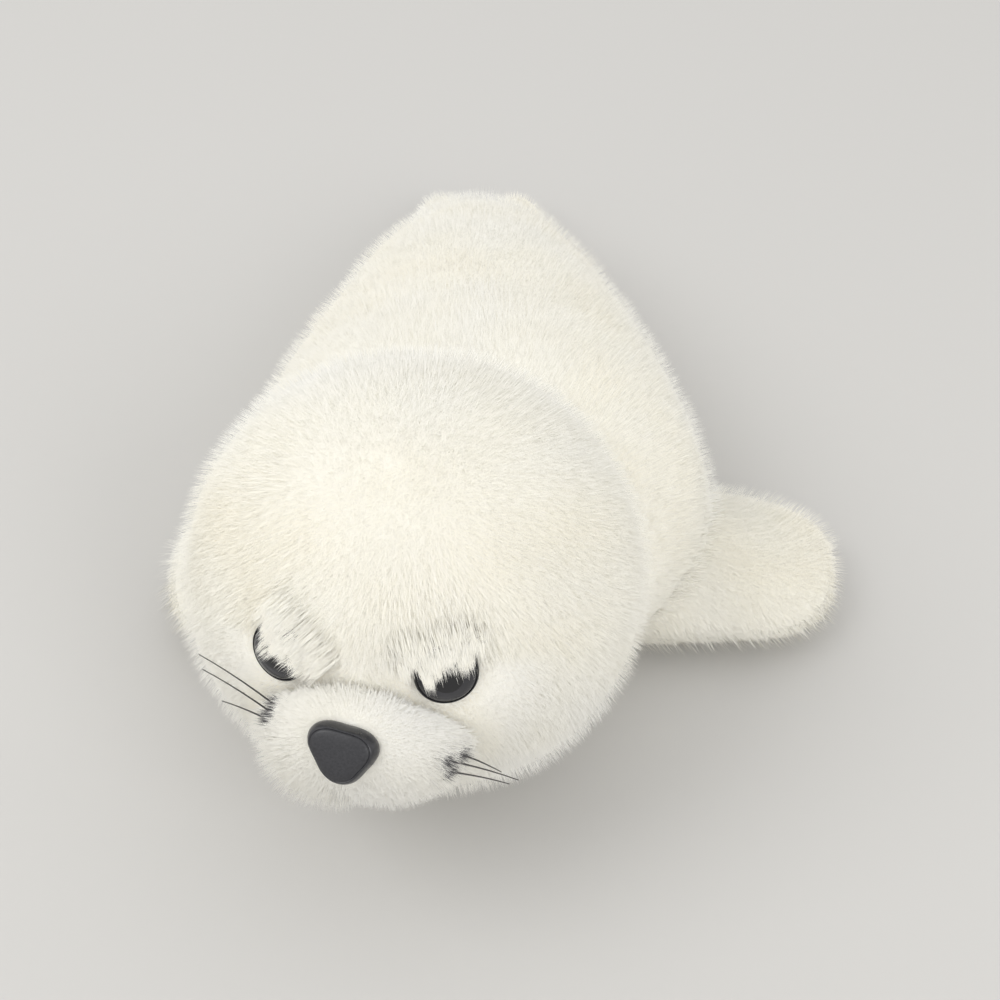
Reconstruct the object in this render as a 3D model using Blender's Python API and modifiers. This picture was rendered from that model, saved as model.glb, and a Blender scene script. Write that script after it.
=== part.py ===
"""A plush seal pup that lies on its belly, with its head turned to one side.

It faces -Y, its tail points to +Y and its own left side is at +X. The origin is on the flat
of the belly, at the middle of the body's length. Each stuffed part is one closed solid whose
surface runs through the middle of the fur.
"""

import math
from typing import NamedTuple

import bmesh
import bpy
from mathutils import Matrix, Vector

# Gap between two pieces that touch.
GAP = 0.0003

# Body: a flattened cone of stuffing, widest at the shoulders.
BODY_LENGTH = 0.250
BODY_FRONT_SHARE = 0.33  # of the length, ahead of the origin
SHOULDER_WIDTH = 0.168
SHOULDER_HEIGHT = 0.094
RUMP_WIDTH = 0.060
RUMP_HEIGHT = 0.050
BODY_WIDEST_SHARE = 0.46  # of the section's height, where it is widest
BELLY_PRESS = 0.009  # how deep the belly is pressed flat
FRONT_BLUNTNESS = 3.0
REAR_BLUNTNESS = 3.2
TAPER_POWER = 1.10
TAPER_START = -0.55  # in half lengths from the middle, where the body begins to narrow
TAPER_END = 0.90
END_HEIGHT_SHARE = 0.25  # of the height that the middle line keeps at the very ends
TAIL_ASIDE = -0.005  # how far the tail end lies off the middle

# Head: nearly a ball, with cheeks, on the front of the body.
HEAD_WIDTH = 0.135
HEAD_DEPTH = 0.129
HEAD_HEIGHT = 0.126
HEAD_ASIDE = -0.0145
HEAD_FORWARD = 0.0920  # of its centre, from the origin
HEAD_ABOVE_FLOOR = 0.0120
HEAD_TURN = math.radians(-10.3)
HEAD_LIFT = math.radians(12.0)  # the face looks up this much
HEAD_ROLL = math.radians(-1.7)
CHEEK_FULLNESS = 0.035
CHEEK_ASIDE = math.radians(48.0)
CHEEK_DROP = math.radians(22.0)
CHEEK_FOCUS = 4  # the higher, the smaller the cheek

# Muzzle: a short-pile panel with its own stuffing, sewn to the front of the head.
MUZZLE_WIDTH = 0.064
MUZZLE_DEPTH = 0.056
MUZZLE_HEIGHT = 0.046
MUZZLE_SINK = 0.011  # of its centre, below the head's surface
MUZZLE_DROP = math.radians(16.5)
MUZZLE_CLEFT = 0.0022
MUZZLE_CLEFT_WIDTH = 0.007
MUZZLE_CLEFT_TOP = 0.25  # in half heights above the muzzle's middle

# Front flippers: flat paddles, one straight out and one swept forward.
FLIPPER_LENGTH = 0.090
FLIPPER_WIDTH = 0.065
FLIPPER_THICKNESS = 0.025
FLIPPER_BLUNTNESS = 2.7
FLIPPER_STATION = -0.032
FLIPPER_RAISE = 0.0015  # of its underside, above the floor
LEFT_FLIPPER_REACH = 0.048  # of its tip, out from the body's side
RIGHT_FLIPPER_REACH = 0.027
LEFT_FLIPPER_SWEEP = math.radians(1.0)
RIGHT_FLIPPER_SWEEP = math.radians(8.0)

# Hind flippers: two small lobes at the tail, side by side.
HIND_LENGTH = 0.050
HIND_WIDTH = 0.0245
HIND_THICKNESS = 0.014
HIND_RAISE = 0.0025
HIND_ROOT_DEPTH = 0.030
HIND_SPLAY = math.radians(3.0)
HIND_PARTING = 0.0008  # between the two lobes, at their roots

# Eyes: moulded domes on a shank, held from inside by a washer.
EYE_DIAMETER = 0.018
EYE_DOME = 0.0062
EYE_RIM = 0.0016
EYE_SINK = 0.0022  # of the rim's back, below the head's surface
EYE_ASIDE = math.radians(20.1)
EYE_RAISE = math.radians(9.0)
EYE_SHANK_DIAMETER = 0.0048
EYE_SHANK_LENGTH = 0.014
EYE_WASHER_DIAMETER = 0.016
EYE_WASHER_THICKNESS = 0.0014
EYE_WASHER_DEPTH = 0.0065  # behind the rim's back

# Nose: a moulded rounded triangle on a shank, held by a washer of its own.
NOSE_WIDTH = 0.0190
NOSE_HEIGHT = 0.0160
NOSE_DOME = 0.0058
NOSE_RIM = 0.0022
NOSE_RIM_SHARE = 0.80  # of the outline, where the rim's bevel ends
NOSE_BACK_BEVEL = 0.0008
NOSE_CORNERS = 0.145  # how far the three corners reach past a round outline
NOSE_SINK = 0.0016
NOSE_TILT = math.radians(23.5)
NOSE_ASIDE = math.radians(-3.0)  # sewn a little to its right
NOSE_ROLL = math.radians(-6.0)
NOSE_SHANK_DIAMETER = 0.0052
NOSE_SHANK_LENGTH = 0.013
NOSE_WASHER_DIAMETER = 0.016
NOSE_WASHER_THICKNESS = 0.0014
NOSE_WASHER_DEPTH = 0.0060

# Whiskers: stiff filaments, three on each side of the muzzle.
WHISKER_DIAMETER = 0.0007
WHISKER_ROOT_DEPTH = 0.0040
WHISKER_BOW = 0.10  # of the length
LEFT_WHISKER_SWEEP = math.radians(22.0)
RIGHT_WHISKER_SWEEP = math.radians(14.0)


class Whisker(NamedTuple):
    """Where a whisker's root is on the muzzle, as angles in degrees, and how it points."""

    side: int  # 1 for the left side, at +X, and -1 for the right
    root_aside: float
    root_raise: float
    length: float
    droop: float


WHISKERS = {
    "whisker_left_upper": Whisker(1, 53.0, 3.0, 0.0215, 23.0),
    "whisker_left_lower": Whisker(1, 55.0, -9.0, 0.0175, 18.0),
    "whisker_left_rear": Whisker(1, 64.0, 0.0, 0.0130, 34.0),
    "whisker_right_upper": Whisker(-1, 59.5, 24.0, 0.0260, -25.0),
    "whisker_right_middle": Whisker(-1, 57.5, 18.5, 0.0235, -23.0),
    "whisker_right_lower": Whisker(-1, 59.0, 11.0, 0.0145, -10.0),
}

# Fineness of the meshes.
BODY_SEGMENTS, BODY_RINGS = 36, 26
HEAD_SEGMENTS, HEAD_RINGS = 40, 28
MUZZLE_SEGMENTS, MUZZLE_RINGS = 28, 20
FLIPPER_SEGMENTS, FLIPPER_RINGS = 20, 14
HIND_SEGMENTS, HIND_RINGS = 16, 12
TURNED_STEPS = 20
EYE_DOME_STEPS = 5
NOSE_STEPS = 27
WHISKER_POINTS = 6
WHISKER_HOLE_STEPS = 8

CREAM = (0.88, 0.85, 0.76)
WHITE = (0.88, 0.87, 0.83)
BLACK = (0.012, 0.012, 0.013)
WASHER_WHITE = (0.80, 0.80, 0.78)
FILAMENT = (0.030, 0.028, 0.026)


# Scene and materials


def clear_scene():
    for obj in list(bpy.data.objects):
        bpy.data.objects.remove(obj, do_unlink=True)


def new_collection(name):
    collection = bpy.data.collections.new(name)
    bpy.context.scene.collection.children.link(collection)
    return collection


def material(name, colour, roughness):
    made = bpy.data.materials.new(name)
    made.use_nodes = True
    shader = made.node_tree.nodes["Principled BSDF"]
    shader.inputs["Base Color"].default_value = (*colour, 1.0)
    shader.inputs["Roughness"].default_value = roughness
    shader.inputs["Metallic"].default_value = 0.0
    return made


def add_object(name, mesh, collection, parent=None, matrix=None):
    obj = bpy.data.objects.new(name, mesh)
    collection.objects.link(obj)
    obj.parent = parent
    if matrix is not None:
        obj.matrix_basis = matrix
    return obj


def finish(obj, colour, roughness, sharp_angle=math.radians(40.0)):
    obj.data.materials.append(material(obj.name, colour, roughness))
    obj.data.shade_smooth()
    obj.data.set_sharp_from_angle(angle=sharp_angle)


def hide_helper(obj):
    obj.hide_render = True
    obj.display_type = "WIRE"


def cut(obj, cutter):
    """Cuts the cutter's shape out of the object."""
    boolean = obj.modifiers.new("cut_" + cutter.name, "BOOLEAN")
    boolean.operation = "DIFFERENCE"
    boolean.solver = "EXACT"
    boolean.object = cutter


def grown(obj, helpers, distance):
    """A cutter of the object's own shape before its cuts, larger all round by the distance."""
    cutter = add_object(obj.name + "_clear", obj.data, helpers, obj.parent, obj.matrix_basis.copy())
    grow = cutter.modifiers.new("grow", "DISPLACE")
    grow.mid_level = 0.0
    grow.strength = distance
    hide_helper(cutter)
    return cutter


# Shapes


def shaped_ball(name, segments, rings, shape, pole_axis="Z"):
    """A ball whose points, given as directions from its centre, are moved to shape(direction)."""
    turn = {"Z": Matrix.Identity(4), "Y": Matrix.Rotation(math.radians(90.0), 4, "X")}[pole_axis]
    bm = bmesh.new()
    bmesh.ops.create_uvsphere(bm, u_segments=segments, v_segments=rings, radius=1.0, matrix=turn)
    for vertex in bm.verts:
        vertex.co = shape(vertex.co.normalized())
    bmesh.ops.recalc_face_normals(bm, faces=bm.faces[:])
    mesh = bpy.data.meshes.new(name)
    bm.to_mesh(mesh)
    bm.free()
    return mesh


def blunt(share, bluntness):
    """How wide a blunt-ended form is at this share of the way from its middle to its end."""
    return max(1.0 - abs(share) ** bluntness, 0.0) ** (1.0 / bluntness)


def turned(name, profile, collection, parent, matrix, steps=TURNED_STEPS):
    """A solid turned about Z from (radius, height) points, listed from top to bottom."""
    mesh = bpy.data.meshes.new(name)
    points = [(radius, 0.0, height) for radius, height in profile]
    mesh.from_pydata(points, [(i, i + 1) for i in range(len(points) - 1)], [])
    obj = add_object(name, mesh, collection, parent, matrix)
    screw = obj.modifiers.new("turn", "SCREW")
    screw.axis = "Z"
    screw.angle = math.tau
    screw.steps = steps
    screw.render_steps = steps
    screw.use_merge_vertices = True
    screw.merge_threshold = 0.00002
    screw.use_smooth_shade = True
    return obj


def towards(aside, raised):
    """The direction that looks ahead (-Y), turned aside to +X and raised."""
    return Vector(
        (math.sin(aside) * math.cos(raised), -math.cos(aside) * math.cos(raised), math.sin(raised))
    )


def facing(place, direction):
    """The matrix of a piece whose own Z looks along the direction, with its Y upward."""
    across = Vector((0.0, 0.0, 1.0)).cross(direction).normalized()
    up = direction.cross(across)
    axes = Matrix((across, up, direction)).transposed().to_4x4()
    return Matrix.Translation(place) @ axes


# Body


def body_y(share):
    """Where this share of the body's half length is, from -1 at the chest to 1 at the tail."""
    middle = BODY_LENGTH * (0.5 - BODY_FRONT_SHARE)
    return middle + share * BODY_LENGTH / 2


def body_section(share):
    """The body's half width and height at this share of its half length."""
    taper = max(0.0, (share - TAPER_START) / (TAPER_END - TAPER_START)) ** TAPER_POWER
    half_width = (SHOULDER_WIDTH + (RUMP_WIDTH - SHOULDER_WIDTH) * taper) / 2
    height = SHOULDER_HEIGHT + (RUMP_HEIGHT - SHOULDER_HEIGHT) * taper
    ends = blunt(share, FRONT_BLUNTNESS if share < 0 else REAR_BLUNTNESS)
    return half_width * ends, height * (END_HEIGHT_SHARE + (1.0 - END_HEIGHT_SHARE) * ends)


def body_aside(share):
    """How far the body's middle line has bent to one side here."""
    return TAIL_ASIDE * ((share + 1.0) / 2) ** 2


def body_side(y, side):
    """Where the body's left (side 1) or right (side -1) edge is, at this distance along it."""
    share = (y - body_y(0.0)) / (BODY_LENGTH / 2)
    return body_aside(share) + side * body_section(share)[0]


def body_point(direction):
    share = direction.y
    half_width, height = body_section(share)
    ring = math.hypot(direction.x, direction.z)
    across = direction.x / ring if ring > 1e-6 else 0.0
    upward = direction.z / ring if ring > 1e-6 else 0.0
    ends = blunt(share, FRONT_BLUNTNESS if share < 0 else REAR_BLUNTNESS)
    middle = height * BODY_WIDEST_SHARE
    above = (height - middle) * ends
    below = (middle + BELLY_PRESS) * ends
    beyond = above if upward > 0 else below
    return Vector(
        (body_aside(share) + half_width * across, body_y(share), middle + upward * beyond)
    )


def make_body(parts):
    mesh = shaped_ball("body", BODY_SEGMENTS, BODY_RINGS, body_point, pole_axis="Y")
    bm = bmesh.new()
    bm.from_mesh(mesh)
    everything = bm.verts[:] + bm.edges[:] + bm.faces[:]
    bmesh.ops.bisect_plane(
        bm, geom=everything, plane_co=(0, 0, 0), plane_no=(0, 0, 1), clear_inner=True
    )
    bmesh.ops.holes_fill(bm, edges=[edge for edge in bm.edges if edge.is_boundary])
    bmesh.ops.recalc_face_normals(bm, faces=bm.faces[:])
    bm.to_mesh(mesh)
    bm.free()
    body = add_object("body", mesh, parts)
    finish(body, CREAM, 0.95)
    return body


# Head and muzzle


def head_frame(parts):
    """An empty at the head's centre, turned as the head is."""
    frame = add_object("head_frame", None, parts)
    height = HEAD_ABOVE_FLOOR + HEAD_HEIGHT / 2
    turn = (
        Matrix.Rotation(HEAD_TURN, 4, "Z")
        @ Matrix.Rotation(-HEAD_LIFT, 4, "X")
        @ Matrix.Rotation(HEAD_ROLL, 4, "Y")
    )
    frame.matrix_basis = Matrix.Translation((HEAD_ASIDE, -HEAD_FORWARD, height)) @ turn
    return frame


def head_point(direction):
    """The head's surface in this direction: an ellipsoid, fuller at the two cheeks."""
    base = Vector((direction.x * HEAD_WIDTH, direction.y * HEAD_DEPTH, direction.z * HEAD_HEIGHT)) / 2
    cheek = towards(CHEEK_ASIDE, -CHEEK_DROP)
    mirrored = Vector((-cheek.x, cheek.y, cheek.z))
    near = max(direction.dot(cheek), direction.dot(mirrored), 0.0)
    return base * (1.0 + CHEEK_FULLNESS * near**CHEEK_FOCUS)


def make_head(parts, frame):
    mesh = shaped_ball("head", HEAD_SEGMENTS, HEAD_RINGS, head_point)
    head = add_object("head", mesh, parts, frame)
    finish(head, CREAM, 0.95)
    return head


def muzzle_centre():
    ahead = towards(0.0, -MUZZLE_DROP)
    surface = head_point(ahead)
    return surface - ahead * MUZZLE_SINK


def muzzle_point(direction):
    """The muzzle's surface, from its centre: an ellipsoid with a cleft below the nose."""
    base = Vector(
        (direction.x * MUZZLE_WIDTH, direction.y * MUZZLE_DEPTH, direction.z * MUZZLE_HEIGHT)
    )
    base /= 2
    low_front = max(0.0, -direction.y) * max(0.0, min(1.0, MUZZLE_CLEFT_TOP - direction.z))
    cleft = MUZZLE_CLEFT * math.exp(-((base.x / MUZZLE_CLEFT_WIDTH) ** 2)) * low_front
    return base - direction * cleft


def make_muzzle(parts, frame):
    mesh = shaped_ball("muzzle", MUZZLE_SEGMENTS, MUZZLE_RINGS, muzzle_point)
    muzzle = add_object("muzzle", mesh, parts, frame, Matrix.Translation(muzzle_centre()))
    finish(muzzle, WHITE, 0.95)
    return muzzle


# Flippers


def paddle(name, length, width, thickness, segments, rings):
    """A flat blunt paddle that points to +X, with its root end at the origin."""

    def point(direction):
        flat = math.hypot(direction.x, direction.y)
        along, across = (direction.x / flat, direction.y / flat) if flat > 1e-6 else (1.0, 0.0)
        norm = abs(along) ** FLIPPER_BLUNTNESS + abs(across) ** FLIPPER_BLUNTNESS
        reach = flat * norm ** (-1.0 / FLIPPER_BLUNTNESS)
        return Vector(
            (
                length / 2 * (1.0 + reach * along),
                width / 2 * reach * across,
                thickness / 2 * direction.z,
            )
        )

    return shaped_ball(name, segments, rings, point)


def make_flipper(parts, side, sweep, reach):
    """side is 1 for the left flipper at +X, and -1 for the right one."""
    name = "front_flipper_left" if side > 0 else "front_flipper_right"
    mesh = paddle(
        name, FLIPPER_LENGTH, FLIPPER_WIDTH, FLIPPER_THICKNESS, FLIPPER_SEGMENTS, FLIPPER_RINGS
    )
    tip = body_side(FLIPPER_STATION, side) + side * reach
    root = tip - side * FLIPPER_LENGTH * math.cos(sweep)
    height = FLIPPER_RAISE + FLIPPER_THICKNESS / 2
    heading = -sweep if side > 0 else math.pi + sweep
    matrix = Matrix.Translation((root, FLIPPER_STATION, height))
    matrix @= Matrix.Rotation(heading, 4, "Z")
    flipper = add_object(name, mesh, parts, None, matrix)
    finish(flipper, CREAM, 0.95)
    return flipper


def make_hind_flipper(parts, side):
    name = "hind_flipper_left" if side > 0 else "hind_flipper_right"
    mesh = paddle(name, HIND_LENGTH, HIND_WIDTH, HIND_THICKNESS, HIND_SEGMENTS, HIND_RINGS)
    aside = body_aside(1.0) + side * (HIND_WIDTH + HIND_PARTING) / 2
    height = HIND_RAISE + HIND_THICKNESS / 2
    matrix = Matrix.Translation((aside, body_y(1.0) - HIND_ROOT_DEPTH, height))
    matrix @= Matrix.Rotation(math.radians(90.0) - side * HIND_SPLAY, 4, "Z")
    flipper = add_object(name, mesh, parts, None, matrix)
    finish(flipper, CREAM, 0.95)
    return flipper


# Eyes and nose


def shank_and_washer_pocket(shank_radius, shank_length, washer_radius, washer_top, washer_thickness):
    """The lower points of a pocket's profile: the shank's hole and the washer's slot."""
    hole = shank_radius + GAP
    slot = washer_radius + GAP
    return [
        (hole, -washer_top + GAP),
        (slot, -washer_top + GAP),
        (slot, -washer_top - washer_thickness - GAP),
        (hole, -washer_top - washer_thickness - GAP),
        (hole, -shank_length - GAP),
        (0.0, -shank_length - GAP),
    ]


def washer_profile(hole_radius, washer_radius, top, thickness):
    return [
        (hole_radius, -top),
        (washer_radius, -top),
        (washer_radius, -top - thickness),
        (hole_radius, -top - thickness),
        (hole_radius, -top),
    ]


def eye_profile():
    """A dome over a short rim, with a shank below. Its heights count from the rim's back."""
    radius = EYE_DIAMETER / 2
    shank = EYE_SHANK_DIAMETER / 2
    dome = [
        (radius * math.sin(angle), EYE_RIM + (EYE_DOME - EYE_RIM) * math.cos(angle))
        for angle in (math.radians(90.0) * i / EYE_DOME_STEPS for i in range(EYE_DOME_STEPS + 1))
    ]
    return dome + [
        (radius, 0.0),
        (shank, 0.0),
        (shank, -EYE_SHANK_LENGTH),
        (0.0, -EYE_SHANK_LENGTH),
    ]


def make_eye(parts, helpers, frame, head, muzzle, side):
    suffix = "left" if side > 0 else "right"
    direction = towards(side * EYE_ASIDE, EYE_RAISE)
    matrix = facing(head_point(direction) - direction * EYE_SINK, direction)
    eye = turned("eye_" + suffix, eye_profile(), parts, frame, matrix)
    finish(eye, BLACK, 0.08)
    hole = EYE_SHANK_DIAMETER / 2 + GAP
    washer = turned(
        "eye_washer_" + suffix,
        washer_profile(hole, EYE_WASHER_DIAMETER / 2, EYE_WASHER_DEPTH, EYE_WASHER_THICKNESS),
        parts,
        frame,
        matrix,
    )
    finish(washer, WASHER_WHITE, 0.5)
    seat = EYE_DIAMETER / 2 + GAP
    above = EYE_DOME + EYE_DIAMETER
    pocket = turned(
        "eye_pocket_" + suffix,
        [(0.0, above), (seat, above), (seat, -GAP)]
        + [(EYE_SHANK_DIAMETER / 2 + GAP, -GAP)]
        + shank_and_washer_pocket(
            EYE_SHANK_DIAMETER / 2,
            EYE_SHANK_LENGTH,
            EYE_WASHER_DIAMETER / 2,
            EYE_WASHER_DEPTH,
            EYE_WASHER_THICKNESS,
        ),
        helpers,
        frame,
        matrix,
    )
    hide_helper(pocket)
    cut(head, pocket)
    cut(muzzle, pocket)


def nose_outline(angle, grow=0.0):
    """A rounded triangle with its point down; the angle runs from +X towards +Y."""
    wide = NOSE_WIDTH / 2 + grow
    high = NOSE_HEIGHT / 2 + grow
    corners = 1.0 + NOSE_CORNERS * math.sin(3.0 * angle)
    return Vector((wide * corners * math.cos(angle), high * corners * math.sin(angle)))


def lofted(name, rings):
    """A closed solid through rings of points, with a point at each end."""
    bm = bmesh.new()
    loops = [[bm.verts.new(point) for point in ring] for ring in rings]
    for upper, lower in zip(loops, loops[1:]):
        count = max(len(upper), len(lower))
        for i in range(count):
            j = (i + 1) % count
            corners = [upper[i % len(upper)], lower[i % len(lower)]]
            if len(lower) > 1:
                corners.append(lower[j])
            if len(upper) > 1:
                corners.append(upper[j])
            bm.faces.new(corners)
    bmesh.ops.recalc_face_normals(bm, faces=bm.faces[:])
    mesh = bpy.data.meshes.new(name)
    bm.to_mesh(mesh)
    bm.free()
    return mesh


def nose_ring(share, height, grow=0.0):
    angles = [math.tau * i / NOSE_STEPS for i in range(NOSE_STEPS)]
    points = [nose_outline(angle, grow) * share for angle in angles]
    return [(point.x, point.y, height) for point in points]


def round_ring(radius, height):
    angles = [math.tau * i / NOSE_STEPS for i in range(NOSE_STEPS)]
    return [(radius * math.cos(a), radius * math.sin(a), height) for a in angles]


def nose_rings():
    """A domed face inside a bevelled rim, a flat back and the shank."""
    shank = NOSE_SHANK_DIAMETER / 2
    rise = NOSE_DOME - NOSE_RIM
    # Each ring of the face: its share of the outline, and of the rise from the rim to the top.
    bevel = 1.0 - NOSE_RIM_SHARE
    face = [
        (NOSE_RIM_SHARE * 0.38, 0.98),
        (NOSE_RIM_SHARE * 0.70, 0.90),
        (NOSE_RIM_SHARE * 0.93, 0.80),
        (NOSE_RIM_SHARE, 0.66),
        (NOSE_RIM_SHARE + bevel * 0.50, 0.42),
        (NOSE_RIM_SHARE + bevel * 0.85, 0.14),
    ]
    return [
        [(0.0, 0.0, NOSE_DOME)],
        *[nose_ring(share, NOSE_RIM + rise * up) for share, up in face],
        nose_ring(1.0, NOSE_RIM),
        nose_ring(1.0, NOSE_BACK_BEVEL),
        nose_ring(1.0 - NOSE_BACK_BEVEL / NOSE_WIDTH, 0.0),
        round_ring(shank, 0.0),
        round_ring(shank, -NOSE_SHANK_LENGTH),
        [(0.0, 0.0, -NOSE_SHANK_LENGTH)],
    ]


def nose_pocket_rings():
    shank = NOSE_SHANK_DIAMETER / 2
    above = NOSE_DOME + NOSE_WIDTH
    lower = shank_and_washer_pocket(
        shank,
        NOSE_SHANK_LENGTH,
        NOSE_WASHER_DIAMETER / 2,
        NOSE_WASHER_DEPTH,
        NOSE_WASHER_THICKNESS,
    )
    return [
        [(0.0, 0.0, above)],
        nose_ring(1.0, above, grow=GAP),
        nose_ring(1.0, -GAP, grow=GAP),
        round_ring(shank + GAP, -GAP),
        *[round_ring(radius, height) for radius, height in lower[:-1]],
        [(0.0, 0.0, lower[-1][1])],
    ]


def make_nose(parts, helpers, frame, head, muzzle):
    direction = towards(NOSE_ASIDE, NOSE_TILT)
    tangent = math.atan2(
        MUZZLE_HEIGHT * math.sin(NOSE_TILT), MUZZLE_DEPTH * math.cos(NOSE_TILT)
    )
    seat = muzzle_centre() + muzzle_point(towards(NOSE_ASIDE, tangent))
    matrix = facing(seat - direction * NOSE_SINK, direction) @ Matrix.Rotation(NOSE_ROLL, 4, "Z")
    nose = add_object("nose", lofted("nose", nose_rings()), parts, frame, matrix)
    finish(nose, BLACK, 0.38)
    washer = turned(
        "nose_washer",
        washer_profile(
            NOSE_SHANK_DIAMETER / 2 + GAP,
            NOSE_WASHER_DIAMETER / 2,
            NOSE_WASHER_DEPTH,
            NOSE_WASHER_THICKNESS,
        ),
        parts,
        frame,
        matrix,
    )
    finish(washer, WASHER_WHITE, 0.5)
    pocket = add_object(
        "nose_pocket", lofted("nose_pocket", nose_pocket_rings()), helpers, frame, matrix
    )
    hide_helper(pocket)
    cut(muzzle, pocket)
    cut(head, pocket)


# Whiskers


def tube(name, points, diameter, collection, parent):
    """A round filament along the points, as a closed mesh."""
    curve = bpy.data.curves.new(name + "_line", "CURVE")
    curve.dimensions = "3D"
    curve.bevel_depth = diameter / 2
    curve.bevel_resolution = 1
    curve.use_fill_caps = True
    spline = curve.splines.new("POLY")
    spline.points.add(len(points) - 1)
    for target, point in zip(spline.points, points):
        target.co = (*point, 1.0)
    line = bpy.data.objects.new(name + "_line", curve)
    collection.objects.link(line)
    line.parent = parent
    bpy.context.view_layer.update()
    graph = bpy.context.evaluated_depsgraph_get()
    mesh = bpy.data.meshes.new_from_object(line.evaluated_get(graph))
    mesh.name = name
    bm = bmesh.new()
    bm.from_mesh(mesh)
    bmesh.ops.remove_doubles(bm, verts=bm.verts[:], dist=0.00001)
    bmesh.ops.recalc_face_normals(bm, faces=bm.faces[:])
    bm.to_mesh(mesh)
    bm.free()
    bpy.data.objects.remove(line, do_unlink=True)
    bpy.data.curves.remove(curve)
    return add_object(name, mesh, collection, parent)


def make_whisker(parts, helpers, frame, muzzle, name, whisker):
    aside, raised = math.radians(whisker.root_aside), math.radians(whisker.root_raise)
    root = muzzle_centre() + muzzle_point(towards(whisker.side * aside, raised))
    sweep = LEFT_WHISKER_SWEEP if whisker.side > 0 else RIGHT_WHISKER_SWEEP
    droop = math.radians(whisker.droop)
    heading = Vector(
        (whisker.side * math.cos(sweep) * math.cos(droop), math.sin(sweep), -math.sin(droop))
    ).normalized()
    sag = Vector((0.0, 0.0, -WHISKER_BOW * whisker.length))
    points = [root - heading * WHISKER_ROOT_DEPTH]
    for step in range(WHISKER_POINTS):
        share = step / (WHISKER_POINTS - 1)
        points.append(root + heading * (whisker.length * share) + sag * share**2)
    filament = tube(name, points, WHISKER_DIAMETER, parts, frame)
    finish(filament, FILAMENT, 0.35)
    radius = WHISKER_DIAMETER / 2 + GAP
    hole = turned(
        name + "_hole",
        [
            (0.0, WHISKER_ROOT_DEPTH),
            (radius, WHISKER_ROOT_DEPTH),
            (radius, -WHISKER_ROOT_DEPTH - GAP),
            (0.0, -WHISKER_ROOT_DEPTH - GAP),
        ],
        helpers,
        frame,
        facing(root, heading),
        steps=WHISKER_HOLE_STEPS,
    )
    hide_helper(hole)
    cut(muzzle, hole)


def main():
    clear_scene()
    parts = new_collection("plush_seal")
    helpers = new_collection("cutters")
    frame = head_frame(parts)
    body = make_body(parts)
    head = make_head(parts, frame)
    muzzle = make_muzzle(parts, frame)
    head_clear = grown(head, helpers, GAP)
    body_clear = grown(body, helpers, GAP)
    cut(body, head_clear)
    cut(muzzle, head_clear)
    for flipper in (
        make_flipper(parts, 1, LEFT_FLIPPER_SWEEP, LEFT_FLIPPER_REACH),
        make_flipper(parts, -1, RIGHT_FLIPPER_SWEEP, RIGHT_FLIPPER_REACH),
    ):
        cut(flipper, body_clear)
    for side in (1, -1):
        cut(make_hind_flipper(parts, side), body_clear)
        make_eye(parts, helpers, frame, head, muzzle, side)
    make_nose(parts, helpers, frame, head, muzzle)
    for name, whisker in WHISKERS.items():
        make_whisker(parts, helpers, frame, muzzle, name, whisker)
    bpy.context.view_layer.update()


main()
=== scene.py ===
"""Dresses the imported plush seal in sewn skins, long and short pile, moulded eyes and a nose.

It is laid out as a Blender add-on and is run as a script. Sizes are in metres, in the frame of
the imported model: the face looks along -Y and the seal lies on its belly at z = 0.
"""

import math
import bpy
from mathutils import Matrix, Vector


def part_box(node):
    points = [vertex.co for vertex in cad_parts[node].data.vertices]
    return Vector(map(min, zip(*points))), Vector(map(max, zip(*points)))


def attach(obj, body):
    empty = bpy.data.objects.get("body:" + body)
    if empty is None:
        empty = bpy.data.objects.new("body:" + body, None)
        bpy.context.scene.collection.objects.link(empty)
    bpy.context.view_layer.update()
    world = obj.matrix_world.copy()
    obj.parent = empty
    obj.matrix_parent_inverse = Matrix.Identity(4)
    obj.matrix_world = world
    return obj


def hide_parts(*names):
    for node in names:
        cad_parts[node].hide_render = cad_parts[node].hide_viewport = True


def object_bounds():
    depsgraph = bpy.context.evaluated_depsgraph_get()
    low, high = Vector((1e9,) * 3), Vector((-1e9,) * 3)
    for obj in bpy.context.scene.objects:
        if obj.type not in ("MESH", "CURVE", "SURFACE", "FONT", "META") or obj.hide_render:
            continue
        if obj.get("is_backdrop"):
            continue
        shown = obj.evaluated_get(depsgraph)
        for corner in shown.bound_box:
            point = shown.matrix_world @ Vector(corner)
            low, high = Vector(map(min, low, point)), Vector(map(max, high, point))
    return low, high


bl_info = {
    "name": "Plush seal",
    "version": (1, 0, 0),
    "blender": (4, 5, 0),
    "location": "View3D > Sidebar > Plush seal",
    "description": "Sews the skins of a plush seal, grows its pile and sets its eyes and nose",
    "category": "Object",
}

from typing import NamedTuple

import bpy
import numpy as np
from bpy.props import FloatProperty, FloatVectorProperty, IntProperty, PointerProperty
from mathutils import Matrix, Vector
from mathutils.bvhtree import BVHTree

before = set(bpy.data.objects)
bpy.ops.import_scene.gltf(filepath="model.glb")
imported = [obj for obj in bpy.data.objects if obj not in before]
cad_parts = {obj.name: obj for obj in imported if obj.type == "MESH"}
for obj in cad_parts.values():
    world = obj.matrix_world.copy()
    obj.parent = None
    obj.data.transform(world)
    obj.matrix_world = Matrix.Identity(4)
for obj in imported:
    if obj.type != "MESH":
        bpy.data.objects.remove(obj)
cad_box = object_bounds()

UP = np.array((0.0, 0.0, 1.0))
FLOOR_CLEARANCE = 0.0004  # lowest point of a hair, above the surface that the seal lies on

HAIR_POINTS = 3  # its root, its middle and its tip

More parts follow.
